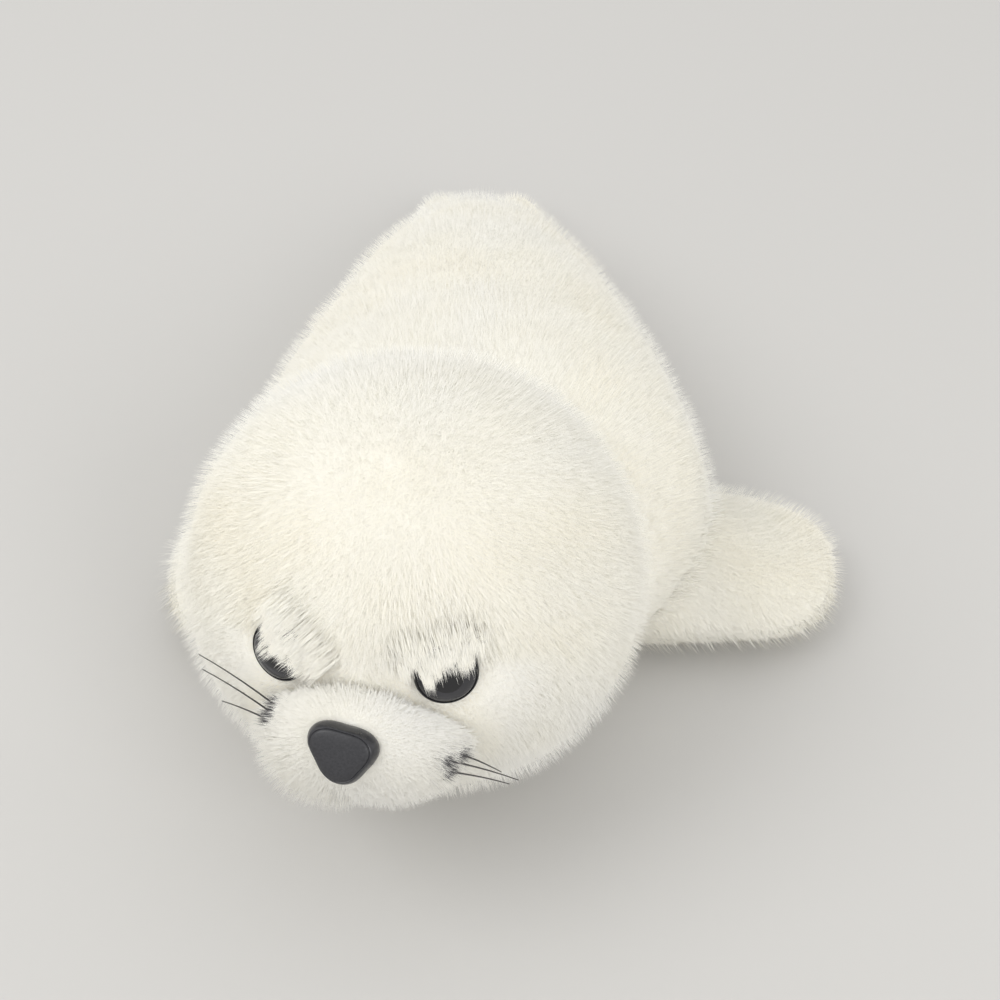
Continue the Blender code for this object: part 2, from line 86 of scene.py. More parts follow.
# The strand map's U picks a hair's colour along the ramp, and its V runs from root to tip.
STRAND_MAP = "OFBake"
STRAND_MAP_HALF_WIDTH = 0.004
HUE_LOW = 0.03
PALE_HUE_HIGH = 0.76  # past this the ramp turns to the grey of the airbrushed marks
GREY_HUE, DARK_HUE = 0.81, 0.95
STRAY = 0.19  # how far, in radians, hairs stray from the way of the nap
GUARD_SHARE = 0.13  # of the hairs are longer than the rest and stand more upright
IRIS_INNER, IRIS_OUTER = 0.50, 0.90  # in eye radii
NOSE_CORNERS = 0.115  # how far the nose's corners reach past a round outline
NOSE_SKEW = 0.12  # how far its lower corner is drawn to its left, as a share of its height

LONG_TUFT, SHORT_TUFT = 0.0028, 0.0016  # how wide a tuft of hairs is
UNSEEN_SHARE = 0.35  # of the hairs that the camera's side gets, on the side turned away from it
ODD_HAIRS = 0.01  # the share of hairs with a colour of their own
GREY_SHARE, DARK_SHARE = 0.22, 0.95  # of the hairs in the middle of an airbrushed mark
MOUTH_DOWN, MOUTH_BACK = 0.0175, 0.006  # from the nose to the grey of the mouth
ROOT_DEPTH = 0.0003  # how deep a hair starts in the skin
SOCKET_EDGE = (0.98, 1.06)  # in eye radii, where the pile round an eye begins
FACE_DEPTH = 0.0010  # of the skin of the short-haired face
ROUNDED_RISE = 0.0015  # a skin raised this much takes its shading from its new form

# The fringe of longer hairs over the upper part of each eye.
BROW_HAIRS = 3900
BROW_WIDTH_SHARE = 1.25  # how wide a brow hair is, against those of the pile
BROW_STEPS = ((0.30, 0.0012), (0.66, 0.0013), (1.0, 0.0008))  # share of a hair, and its lift
BROW_ENDS = {"eye_left": 0.45, "eye_right": 0.12}  # of the tips at the fringe's two ends
BROW_LOWEST = {"eye_left": 0.16, "eye_right": 0.10}  # of the tips, in eye radii
BROW_ASIDE = {"eye_left": 0.25, "eye_right": -0.85}  # how far aside the hairs point

# Hair colours along the ramp: cool white, cream, warm cream, then the airbrushed greys.
# Warm cream and beige, before the greys, also give the painted shade in the crease above the
# muzzle and round the eyes.
PILE_RAMP = (
    (0.00, (0.955, 0.953, 0.940)),
    (0.22, (0.965, 0.950, 0.895)),
    (0.44, (0.970, 0.945, 0.855)),
    (0.62, (0.960, 0.915, 0.790)),
    (0.76, (0.840, 0.800, 0.720)),
    (0.82, (0.560, 0.550, 0.530)),
    (0.90, (0.150, 0.148, 0.155)),
    (1.00, (0.035, 0.034, 0.038)),
)


class Coat(NamedTuple):
    """How one stuffed part is covered."""

    node: str  # the solid it stands for
    kind: str  # long or short pile
    strands: int  # how many hairs each pile piece has
    layers: int  # how many pile pieces share the skin
    depth: float  # of the skin below the solid's surface
    length: float  # of a hair, as a share of the pile's length
    voxel: float  # fineness of the skin
    fill: float  # how tightly it is stuffed

    @property
    def skin(self):
        """The name of its skin."""
        return self.node + "_skin"

    @property
    def pile(self):
        """The name that its pile pieces start with."""
        return self.node + "_pile"


COATS = (
    Coat("body", "long", 72000, 2, 0.0014, 1.0, 0.0032, 0.6),
    Coat("head", "long", 84000, 2, 0.0014, 1.0, 0.0026, 0.75),
    Coat("muzzle", "short", 44000, 1, 0.0009, 1.0, 0.0016, 0.8),
    Coat("front_flipper_left", "long", 34000, 1, 0.0014, 1.0, 0.0022, 0.4),
    Coat("front_flipper_right", "long", 16000, 1, 0.0014, 1.0, 0.0022, 0.4),
    Coat("hind_flipper_left", "long", 7000, 1, 0.0012, 0.8, 0.0015, 0.4),
    Coat("hind_flipper_right", "long", 7000, 1, 0.0012, 0.8, 0.0015, 0.4),
)

# How far from a seam the two parts' skins are raised to round out the crease between them.
SEAM_REACH = {
    ("body", "head"): 0.020,
    ("body", "front_flipper_left"): 0.028,
    ("body", "front_flipper_right"): 0.028,
}


# Arithmetic on many points at once


def unit(vectors):
    """The vectors made one long."""
    return vectors / np.maximum(np.linalg.norm(vectors, axis=-1, keepdims=True), 1e-9)


def ease(values, low, high):
    """0 below low, 1 above high and smooth between them."""
    share = np.clip((values - low) / (high - low), 0.0, 1.0)
    return share * share * (3.0 - 2.0 * share)


def rows(*columns):
    """Columns, each an array or one number, put side by side."""
    return np.stack(np.broadcast_arrays(*columns), axis=1)


def ripple(points, wavelength, seed, waves=10):
    """Smooth noise, mostly between -1 and 1, that changes over about a wavelength."""
    rng = np.random.default_rng(seed)
    turns = unit(rng.normal(size=(waves, 3)))
    turns *= math.tau / (wavelength * rng.uniform(0.7, 1.6, (waves, 1)))
    starts = rng.uniform(0.0, math.tau, waves)
    return np.sin(points @ turns.T + starts).mean(1) * math.sqrt(waves / 2)


def swirl(points, wavelength, seed):
    """Vectors of smooth noise, each part mostly between -1 and 1."""
    return rows(*(ripple(points, wavelength, seed + 100 * i) for i in range(3)))


def along_part(vectors, normals):
    """The part of each vector that lies along the surface."""
    return vectors - normals * (vectors * normals).sum(1, keepdims=True)


def along_surface(vectors, normals):
    """Which way each vector points along the surface, one long."""
    return unit(along_part(vectors, normals))


def mesh_values(items, name):
    """The places, normals or vectors of a mesh's items, as rows of three numbers."""
    values = np.empty(len(items) * 3, np.float32)
    items.foreach_get(name, values)
    return values.reshape(-1, 3).astype(float)


def node_points(node):
    """The corners of a node's solid."""
    return mesh_values(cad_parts[node].data.vertices, "co")


def node_middle(node):
    """The middle of the box round a node."""
    low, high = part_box(node)
    return np.array((low + high) / 2)


def outside(node, points, near=0.02):
    """How far each point lies outside the node's solid, less than 0 inside it, at most near."""
    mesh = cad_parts[node].data
    tree = BVHTree.FromPolygons(
        [v.co for v in mesh.vertices], [tuple(p.vertices) for p in mesh.polygons]
    )
    aim = Vector((0.31, 0.23, 0.92)).normalized()
    low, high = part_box(node)
    reach = (high - low).length
    found = np.full(len(points), near)
    close = ((points > np.array(low) - near) & (points < np.array(high) + near)).all(1)
    for i in np.flatnonzero(close):
        start = Vector(points[i])
        distance = tree.find_nearest(start)[3]
        crossings = 0
        while crossings < 12:
            hit = tree.ray_cast(start, aim, reach)[0]
            if hit is None:
                break
            crossings += 1
            start = hit + aim * 0.00001
        found[i] = -distance if crossings % 2 else min(distance, near)
    return found


def open_air(node, points, normals, reach):
    """1 where the skin is open to the air, and 0 where the node lies on it this deep."""
    return ease(outside(node, points + normals * reach), -0.9 * reach, -0.4 * reach)


# Where the face's pieces are


class Seat(NamedTuple):
    """Where a moulded piece sits: the middle of its back, and its own axes and sizes."""

    middle: np.ndarray
    across: np.ndarray
    up: np.ndarray
    out: np.ndarray
    radius: float
    rise: float  # of its top above its back
    shank_radius: float
    shank_length: float

    def matrix(self):
        """Moves a form made at the origin, facing up Z, to this seat."""
        rows_of_axes = np.stack([self.across, self.up, self.out, self.middle], axis=1)
        return Matrix([*rows_of_axes.tolist(), [0.0, 0.0, 0.0, 1.0]])

    def local(self, points):
        """Each point's place across, up and out of the piece."""
        away = points - self.middle
        return away @ self.across, away @ self.up, away @ self.out


def seat_of(node, level, rolled=False):
    """Reads a moulded node's place from its mesh.

    Its X is as near as can be to level, or is its outline's own long axis if it is rolled.
    """
    points = np.unique(np.round(node_points(node), 6), axis=0)
    middle = points.mean(0)
    axes = np.linalg.eigh(np.cov((points - middle).T))[1].T
    outward = middle - node_middle("head")
    out = max(axes, key=lambda axis: abs(axis @ outward))
    out = out * np.sign(out @ outward)
    if rolled:
        level = max(axes, key=lambda axis: abs(axis @ level) - 2.0 * abs(axis @ out))
        level = level * np.sign(level @ EYE_LEVEL)
    across = unit(level - out * (level @ out))
    heights = (points - middle) @ out
    radii = np.linalg.norm(points - middle - np.outer(heights, out), axis=1)
    radius = radii.max()
    back = heights[radii > 0.9 * radius].min()
    shank = radii[heights < back - 0.001].max()
    return Seat(
        middle + out * back,
        across,
        np.cross(out, across),
        out,
        radius,
        heights.max() - back,
        shank,
        back - heights.min(),
    )


HEAD_MIDDLE = node_middle("head")
EYE_LEVEL = unit(node_middle("eye_left") - node_middle("eye_right"))
EYES = {name: seat_of(name, EYE_LEVEL) for name in ("eye_left", "eye_right")}
NOSE = seat_of("nose", EYE_LEVEL, rolled=True)
AHEAD = (EYES["eye_left"].middle + EYES["eye_right"].middle) / 2 - HEAD_MIDDLE
AHEAD = unit(AHEAD - EYE_LEVEL * (AHEAD @ EYE_LEVEL))
HEAD_UP = np.cross(AHEAD, EYE_LEVEL)
WHISKERS = [name for name in sorted(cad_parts) if name.startswith("whisker")]
WASHERS = [name for name in sorted(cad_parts) if "washer" in name]


def whisker_roots():
    """Where each whisker leaves the muzzle."""
    muzzle = node_middle("muzzle")
    roots = []
    for name in WHISKERS:
        points = node_points(name)
        far = np.linalg.norm(points - muzzle, axis=1)
        order = np.argsort(far)
        end = points[order[:8]].mean(0)
        tip = points[order[-8:]].mean(0)
        roots.append(end + unit(tip - end) * 0.004)
    return np.array(roots)


# Settings


# What every colour setting has in common.
COLOUR = {"min": 0.0, "max": 1.0, "size": 3, "subtype": "COLOR"}


class PileSettings(bpy.types.PropertyGroup):
    """How the pile is cut, how it lies and where its random places start"""

    long_length: FloatProperty(
        name="Long pile",
        description="Length of a hair on the body, the head and the flippers",
        default=0.0075,
        min=0.004,
        max=0.030,
        unit="LENGTH",
    )
    short_length: FloatProperty(
        name="Short pile",
        description="Length of a hair on the muzzle",
        default=0.0043,
        min=0.002,
        max=0.012,
        unit="LENGTH",
    )
    hair_width: FloatProperty(
        name="Hair width",
        description="Width of a hair at its middle, where a hair stands for a few fibres",
        default=0.00010,
        min=0.0001,
        max=0.001,
        unit="LENGTH",
    )
    lean: FloatProperty(
        name="Lean",
        description="How far the long pile leans over from standing upright",
        default=math.radians(50.0),
        min=0.0,
        max=math.radians(85.0),
        subtype="ANGLE",
    )
    clump: FloatProperty(
        name="Clump",
        description="How far the tips of a tuft are drawn together",
        default=0.08,
        min=0.0,
        max=1.0,
        subtype="FACTOR",
    )
    seed: IntProperty(
        name="Seed",
        description="Number that the random places of the hairs start from",
        default=7,
        min=0,
    )


class FinishSettings(bpy.types.PropertyGroup):
    """The colours of what isn't pile"""

    undercoat: FloatVectorProperty(
        name="Undercoat",
        description="Colour of the dense fluff between the hairs",
        default=(0.94, 0.92, 0.85),
        **COLOUR,
    )
    eye: FloatVectorProperty(
        name="Eyes",
        description="Colour of the moulded eyes",
        default=(0.006, 0.006, 0.007),
        **COLOUR,
    )
    iris: FloatVectorProperty(
        name="Irises",
        description="Colour of the ring round each pupil",
        default=(0.022, 0.022, 0.025),
        **COLOUR,
    )
    nose: FloatVectorProperty(
        name="Nose",
        description="Colour of the moulded nose",
        default=(0.022, 0.022, 0.025),
        **COLOUR,
    )
    whisker: FloatVectorProperty(
        name="Whiskers",
        description="Colour of the whisker filament",
        default=(0.040, 0.037, 0.035),
        **COLOUR,
    )
    washer: FloatVectorProperty(
        name="Washers",
        description="Colour of the washers inside",
        default=(0.80, 0.80, 0.77),
        **COLOUR,
    )


class StageSettings(bpy.types.PropertyGroup):
    """The floor, the light and the camera"""

    floor: FloatVectorProperty(
        name="Floor",
        description="Colour of the floor and the backdrop",
        default=(0.56, 0.55, 0.53),
        **COLOUR,
    )
    key_power: FloatProperty(
        name="Key light",
        description="Power of the large soft lamp at the upper left",
        default=8.1,
        min=0.0,
        unit="POWER",
    )
    fill_power: FloatProperty(
        name="Fill light",
        description="Power of the soft lamp in front",
        default=7.2,
        min=0.0,
        unit="POWER",
    )
    sky: FloatProperty(
        name="Sky",
        description="Strength of the even light from all round",
        default=0.975,
        min=0.0,
        max=2.0,
    )
    camera_azimuth: FloatProperty(
        name="Camera azimuth",
        description="Angle of the camera round the seal, from straight ahead of it",
        default=math.radians(1.5),
        subtype="ANGLE",
    )
    camera_elevation: FloatProperty(
        name="Camera elevation",
        description="Angle of the camera above the floor",
        default=math.radians(45.0),
        subtype="ANGLE",
    )
    camera_distance: FloatProperty(
        name="Camera distance",
        description="Distance from the camera to the point that it looks at",
        default=0.589,
        min=0.1,
        unit="LENGTH",
    )


class SealSettings(bpy.types.PropertyGroup):
    """Everything that the sidebar sets"""

    pile: PointerProperty(type=PileSettings)
    finish: PointerProperty(type=FinishSettings)
    stage: PointerProperty(type=StageSettings)


def settings():
    """The values in the sidebar."""
    return bpy.context.scene.plush_seal


# Materials


def new_material(name):
    """A material with its Principled shader, and its nodes and links."""
    made = bpy.data.materials.new(name)
    made.use_nodes = True
    return made, made.node_tree.nodes, made.node_tree.links


def grain(nodes, links, scale, detail=3.0, roughness=0.55):
    """A noise texture on object coordinates."""
    place = nodes.new("ShaderNodeTexCoord")
    noise = nodes.new("ShaderNodeTexNoise")
    noise.inputs["Scale"].default_value = scale
    noise.inputs["Detail"].default_value = detail
    noise.inputs["Roughness"].default_value = roughness
    links.new(place.outputs["Object"], noise.inputs["Vector"])
    return noise.outputs["Fac"]


def ramp(nodes, links, source, stops):
    """The source turned into a colour by pairs of a place and a colour."""
    made = nodes.new("ShaderNodeValToRGB")
    elements = made.color_ramp.elements
    while len(elements) > 1:
        elements.remove(elements[-1])
    elements[0].position, elements[0].color = stops[0][0], (*stops[0][1], 1.0)
    for position, colour in stops[1:]:
        elements.new(position).color = (*colour, 1.0)
    links.new(source, made.inputs["Fac"])
    return made.outputs["Color"]


def spread(nodes, links, source, low, high):
    """The source, from 0 to 1, spread from low to high."""
    made = nodes.new("ShaderNodeMapRange")
    made.inputs["To Min"].default_value = low
    made.inputs["To Max"].default_value = high
    links.new(source, made.inputs["Value"])
    return made.outputs["Result"]


def bump(nodes, links, source, distance, strength=1.0):
    """The source as fine relief, this high."""
    made = nodes.new("ShaderNodeBump")
    made.inputs["Distance"].default_value = distance
    made.inputs["Strength"].default_value = strength
    links.new(source, made.inputs["Height"])
    return made.outputs["Normal"]


def shade(colour, amount):
    """A colour made darker or brighter."""
    return tuple(min(1.0, channel * amount) for channel in colour)


# How bright a hair is along its length, against its own colour: the darker root is painted shade
# deep in the pile.
HAIR_ROOT_SHADE = ((0.0, (0.96, 0.955, 0.94)), (0.5, (0.99, 0.99, 0.985)), (1.0, (1.0, 1.0, 1.0)))


def pile_material(name, sheen, tone):
    """Hair colour from the strand map: U picks the hue and V darkens the root a little, as
    painted shade deep in the pile.
    """
    made, nodes, links = new_material(name)
    shader = nodes["Principled BSDF"]
    strand = nodes.new("ShaderNodeUVMap")
    strand.uv_map = STRAND_MAP
    parts = nodes.new("ShaderNodeSeparateXYZ")
    links.new(strand.outputs["UV"], parts.inputs["Vector"])
    hue = ramp(nodes, links, parts.outputs["X"], PILE_RAMP)
    stops = [(place, shade(colour, tone)) for place, colour in HAIR_ROOT_SHADE]
    # Painted shade: the root of each hair is a little darker than its tip.
    root_shade = ramp(nodes, links, parts.outputs["Y"], stops)
    both = nodes.new("ShaderNodeMix")
    both.data_type = "RGBA"
    both.blend_type = "MULTIPLY"
    both.inputs["Factor"].default_value = 1.0
    links.new(hue, both.inputs["A"])
    links.new(root_shade, both.inputs["B"])
    links.new(both.outputs["Result"], shader.inputs["Base Color"])
    rough = spread(nodes, links, parts.outputs["Y"], 0.86, 0.62)
    links.new(rough, shader.inputs["Roughness"])
    shader.inputs["Specular IOR Level"].default_value = 0.25
    shader.inputs["Sheen Weight"].default_value = sheen
    shader.inputs["Sheen Roughness"].default_value = 0.45
    return made


def undercoat_material(colour):
    """The dense fluff that shows between the hairs."""
    made, nodes, links = new_material("undercoat")
    shader = nodes["Principled BSDF"]
    fluff = grain(nodes, links, 900.0, detail=4.0, roughness=0.7)
    patches = grain(nodes, links, 22.0)
    tone = ramp(
        nodes, links, patches, ((0.35, shade(colour, 1.0)), (0.65, shade(colour, 0.97)))
    )
    links.new(tone, shader.inputs["Base Color"])
    links.new(bump(nodes, links, fluff, 0.0004, 0.6), shader.inputs["Normal"])
    links.new(spread(nodes, links, fluff, 0.80, 0.95), shader.inputs["Roughness"])
    shader.inputs["Specular IOR Level"].default_value = 0.2
    return made


def eye_material(name, colour):
    """Polished dark plastic with the faint haze of handling."""
    made, nodes, links = new_material(name)
    shader = nodes["Principled BSDF"]
    haze = grain(nodes, links, 140.0)
    tone = ramp(nodes, links, haze, ((0.35, colour), (0.75, shade(colour, 1.5))))
    links.new(tone, shader.inputs["Base Color"])
    links.new(spread(nodes, links, haze, 0.05, 0.16), shader.inputs["Roughness"])
    return made


def nose_material(name, colour, grain_depth, roughness):
    """Dark moulded plastic; the face has a leathery grain and the rim is smoother."""
    made, nodes, links = new_material(name)
    shader = nodes["Principled BSDF"]
    fine = grain(nodes, links, 1500.0, detail=4.0, roughness=0.6)
    broad = grain(nodes, links, 160.0)
    tone = ramp(nodes, links, fine, ((0.3, shade(colour, 0.75)), (0.7, shade(colour, 1.45))))
    links.new(tone, shader.inputs["Base Color"])
    links.new(bump(nodes, links, fine, grain_depth), shader.inputs["Normal"])
    low, high = roughness
    links.new(spread(nodes, links, broad, low, high), shader.inputs["Roughness"])
    return made


def moulded_material(name, colour, scale, roughness):
    """Plain moulded plastic or filament with slightly uneven colour and gloss."""
    made, nodes, links = new_material(name)
    shader = nodes["Principled BSDF"]
    uneven = grain(nodes, links, scale)
    tone = ramp(nodes, links, uneven, ((0.3, shade(colour, 0.75)), (0.7, shade(colour, 1.25))))
    links.new(tone, shader.inputs["Base Color"])
    low, high = roughness
    links.new(spread(nodes, links, uneven, low, high), shader.inputs["Roughness"])
    return made


# Skins


def pick(obj):
    """Makes this the only selected object."""
    bpy.ops.object.select_all(action="DESELECT")
    obj.hide_set(False)
    obj.select_set(True)
    bpy.context.view_layer.objects.active = obj


def add_and_apply(obj, kind, **values):
    """Adds a modifier with these values and applies it."""
    pick(obj)
    bpy.ops.object.modifier_add(type=kind)
    modifier = obj.modifiers[-1]
    for name, value in values.items():
        setattr(modifier, name, value)
    bpy.ops.object.modifier_apply(modifier=modifier.name)


def vertex_values(mesh, attribute):
    """The places or the normals of a mesh's vertices."""
    return mesh_values(mesh.vertices, attribute)


def copy_of(node, name):
    """A copy of a node's solid, put into the scene without its material."""
    copied = bpy.data.objects.new(name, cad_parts[node].data.copy())
    bpy.context.scene.collection.objects.link(copied)
    copied.data.materials.clear()
    return copied


def seam_fill(node, points, normals):
    """How far the skin is raised to round out the creases where parts are sewn together."""
    rise = np.zeros(len(points))
    for pair, reach in SEAM_REACH.items():
        if node in pair:
            other = pair[1 - pair.index(node)]
            gap = np.clip(outside(other, points, reach), 0.0, reach)
            open_skin = ease(outside(other, points + normals * 0.006, reach), -0.002, 0.003)
            rise = np.maximum(rise, (reach - gap) ** 2 / (4.0 * reach) * open_skin)
    return rise


def move_vertices(mesh, points):
    """Moves each vertex of a mesh to its new place."""
    mesh.vertices.foreach_set("co", points.astype(np.float32).ravel())
    mesh.update()


def sewn_skin(coat):
    """A copy of the solid, merged, smoothed and drawn in by the depth of its pile."""
    skin = copy_of(coat.node, coat.skin)
    pick(skin)
    bpy.ops.object.mode_set(mode="EDIT")
    bpy.ops.mesh.select_all(action="SELECT")
    bpy.ops.mesh.remove_doubles(threshold=0.00001)
    bpy.ops.object.mode_set(mode="OBJECT")
    add_and_apply(skin, "REMESH", mode="VOXEL", voxel_size=coat.voxel)
    add_and_apply(skin, "SMOOTH", factor=0.5, iterations=4)
    bpy.ops.object.shade_smooth()
    points = vertex_values(skin.data, "co")
    normals = vertex_values(skin.data, "normal")
    rise = seam_fill(coat.node, points, normals)
    points = points + normals * rise[:, None]
    move_vertices(skin.data, points)
    rounded = ease(rise, 0.0, ROUNDED_RISE)[:, None]
    normals = unit(normals * (1.0 - rounded) + vertex_values(skin.data, "normal") * rounded)
    depths = normals * pile_depth(coat, points)[:, None]
    attribute = skin.data.attributes.new("pile_depth", "FLOAT_VECTOR", "POINT")
    attribute.data.foreach_set("vector", depths.astype(np.float32).ravel())
    drawn_in = points - depths
    drawn_in[:, 2] = np.maximum(drawn_in[:, 2], FLOOR_CLEARANCE * 2)
    move_vertices(skin.data, drawn_in)
    return skin


def near_eyes(points, reach):
    """For each eye: how near a point is, how far up and away in radii, and if it is in front."""
    for seat in EYES.values():
        aside, up, out = seat.local(points)
        away = np.hypot(aside, up) / seat.radius
        front = ease(out, -seat.radius * 1.5, -seat.radius * 0.6)
        near = (1.0 - ease(away, 1.05, reach)) * front
        yield near, up / seat.radius, away, front


def beside_socket(away, front):
    """0 where an eye sits, and 1 past its edge."""
    return 1.0 - (1.0 - ease(away, *SOCKET_EDGE)) * front


def face_share(points):
    """1 on the short-haired face under the eyes, and 0 on the rest of the head."""
    away = unit(points - HEAD_MIDDLE)
    ahead, up = away @ AHEAD, away @ HEAD_UP
    return ease(ahead, 0.62, 0.84) * (1.0 - ease(up, -0.02, 0.10))


def pile_depth(coat, points):
    """How far the skin lies below the solid's surface at each point."""
    depth = np.full(len(points), coat.depth)
    if coat.node == "head":
        depth -= (coat.depth - FACE_DEPTH) * face_share(points)
    if coat.node == "body":
        depth *= 0.35 + 0.65 * ease(points[:, 2], 0.002, 0.022)
    return depth


# Pile


class Field(NamedTuple):
    """What the pile is like at each point of a skin."""

    keep: np.ndarray  # how many of the hairs grow here, from 0 to 1
    length: np.ndarray
    lean: np.ndarray
    nap: np.ndarray  # which way the hairs lean, along the surface
    stray: np.ndarray  # how far, in radians, their directions are spread
    hue: np.ndarray  # their places on the ramp of colours


def pale_hue(points, base, seed):
    """A pale hue that drifts a little warmer and cooler in patches."""
    return base + 0.12 * ripple(points, 0.070, seed) + 0.05 * ripple(points, 0.024, seed + 1)


def uneven(points, amount, wavelength, seed):
    """A share near 1 that goes up and down by about this amount."""
    return 1.0 + amount * ripple(points, wavelength, seed)


def body_field(coat, points, normals, look):
    """The nap runs towards the tail and down, and out along the front flippers."""
    keep = open_air("head", points, normals, 0.010)
    drift = rows(points[:, 0] * 9.0, 0.75, -0.45) + 0.18 * swirl(points, 0.045, 40)
    root = np.zeros(len(points))
    for node, side in (("front_flipper_left", 1.0), ("front_flipper_right", -1.0)):
        keep = keep * open_air(node, points, normals, 0.006)
        near = 1.0 - ease(outside(node, points, 0.026), 0.006, 0.024)
        drift += near[:, None] * np.array((side * 1.6, -0.2, 0.1))
        root = np.maximum(root, near)
    tail_end = points[:, 1].max()
    tail = ease(points[:, 1], tail_end - 0.022, tail_end - 0.004)
    belly = ease(-normals[:, 2], 0.55, 0.85) * (1.0 - ease(points[:, 2], 0.004, 0.014))
    crease = 1.0 - ease(outside("head", points, 0.014), 0.002, 0.012)
    keep = keep * (1.0 - 0.75 * belly)
    length = look.long_length * coat.length * uneven(points, 0.10, 0.030, 41)
    length = length * (1.0 - 0.45 * belly) * (1.0 + 0.15 * root + 0.70 * tail)
    length = length * (1.0 - 0.35 * crease)
    lean = look.lean * uneven(points, 0.10, 0.035, 42) * (1.0 - 0.35 * tail) + 0.75 * belly
    stray = np.full(len(points), STRAY)
    return Field(
        keep, length, lean, along_surface(drift, normals), stray, pale_hue(points, 0.40, 43)
    )


def head_field(coat, points, normals, look):
    """The nap runs away from a crown above the forehead, over the brows and round the face."""
    keep = open_air("muzzle", points, normals, 0.004) * open_air("body", points, normals, 0.008)
    face = face_share(points)
    crown = HEAD_MIDDLE + unit(HEAD_UP + AHEAD * 0.75) * 0.060
    away = points - crown
    parting = 1.0 - ease(np.linalg.norm(along_part(away, normals), axis=1), 0.004, 0.034)
    nape = 1.0 - ease(outside("body", points, 0.012), 0.001, 0.010)
    crease = 1.0 - ease(outside("muzzle", points, 0.012), 0.002, 0.010)
    drift = unit(away) + 0.20 * swirl(points, 0.032, 60)
    drift = drift + face[:, None] * unit(points - NOSE.middle) * 0.9
    length = look.long_length * coat.length * uneven(points, 0.10, 0.030, 61)
    length = length * (1.0 - 0.40 * face) * (1.0 + 0.5 * nape * ripple(points, 0.006, 64))
    lean = look.lean * uneven(points, 0.10, 0.030, 62)
    stray = STRAY + 1.6 * parting + 0.35 * nape
    hue = pale_hue(points, 0.40, 63) - 0.22 * face
    # Painted shade: the hairs in the crease above the muzzle are turned a warmer, darker cream.
    hue = hue + 0.26 * crease * ease(points[:, 2], 0.055, 0.070)
    for name, seat in EYES.items():
        aside, up, _ = seat.local(points)
        over = np.hypot(aside, up - seat.radius) / seat.radius
        near = (1.0 - ease(over, 0.9, 2.6))[:, None]
        flow = seat.across * BROW_ASIDE[name] - seat.up
        drift = drift * (1.0 - near) + unit(flow) * near
    for near, up, away, front in near_eyes(points, 2.6):
        below = 1.0 - ease(up, -0.1, 0.75)
        keep = keep * beside_socket(away, front)
        length = length * (1.0 - 0.55 * near * below)
        lean = lean + near * (1.0 - below) * 0.30
        # Painted shade: the hairs round the lower part and sides of each eye are turned a
        # warmer, darker cream.
        hue = hue + 0.40 * (1.0 - ease(away, 1.0, 1.7)) * front * below
    return Field(keep, length, lean, along_surface(drift, normals), stray, hue)


def muzzle_field(coat, points, normals, look):
    """The nap runs away from the nose and a little down, and is longest on the right jowl."""
    keep = open_air("head", points, normals, 0.0025)
    aside, up, _ = NOSE.local(points)
    reach = np.hypot(aside / (NOSE.radius * 0.93), up / (NOSE.radius * 0.80))
    middle = node_middle("muzzle")
    front = ease((points - middle) @ NOSE.out, 0.0, 0.008)
    rim = (1.0 - ease(reach, 0.95, 1.5)) * front
    to_jowl = unit(-EYE_LEVEL * 0.75 - UP * 0.55 + AHEAD * 0.3)
    jowl = ease(unit(points - middle) @ to_jowl, 0.55, 0.95)
    keep = keep * (1.0 - (1.0 - ease(reach, 0.82, 0.92)) * front)
    drift = unit(points - NOSE.middle) + 0.18 * swirl(points, 0.020, 80) - 0.25 * UP
    length = look.short_length * coat.length * uneven(points, 0.12, 0.014, 81)
    length = length * (1.0 - 0.30 * rim) * (1.0 + 0.75 * jowl)
    lean = look.lean * (0.95 + 0.10 * ripple(points, 0.016, 82) - 0.15 * jowl) + 0.2 * rim
    stray = np.full(len(points), STRAY)
    for near, _, away, front in near_eyes(points, 2.0):
        keep = keep * beside_socket(away, front)
        length = length * (1.0 - 0.35 * near)
    return Field(
        keep, length, lean, along_surface(drift, normals), stray, pale_hue(points, 0.26, 83)
    )


def flipper_field(coat, points, normals, look):
    """The nap runs out of the root and fans towards the edges."""
    if coat.node.startswith("hind"):
        drift = rows(points[:, 0] * 14.0, 1.0, -0.35)
    else:
        low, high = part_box(coat.node)
        across = (points[:, 1] - (low.y + high.y) / 2) / ((high.y - low.y) / 2)
        side = 1.0 if coat.node.endswith("left") else -1.0
        drift = rows(side * 0.9, across - 0.2, -0.35)
    drift = drift + 0.35 * swirl(points, 0.030, 90)
    under = ease(-normals[:, 2], 0.4, 0.8) * (1.0 - ease(points[:, 2], 0.003, 0.012))
    keep = open_air("body", points, normals, 0.006) * (1.0 - 0.6 * under)
    length = look.long_length * coat.length * uneven(points, 0.12, 0.024, 91)
    lean = look.lean * uneven(points, 0.10, 0.026, 92) + 0.6 * under
    stray = np.full(len(points), STRAY)
    return Field(
        keep, length, lean, along_surface(drift, normals), stray, pale_hue(points, 0.42, 93)
    )


FIELDS = {"body": body_field, "head": head_field, "muzzle": muzzle_field}


def skin_triangles(mesh):
    """The three corners of each triangle."""
    mesh.calc_loop_triangles()
    corners = np.empty(len(mesh.loop_triangles) * 3, np.int32)
    mesh.loop_triangles.foreach_get("vertices", corners)
    return corners.reshape(-1, 3)


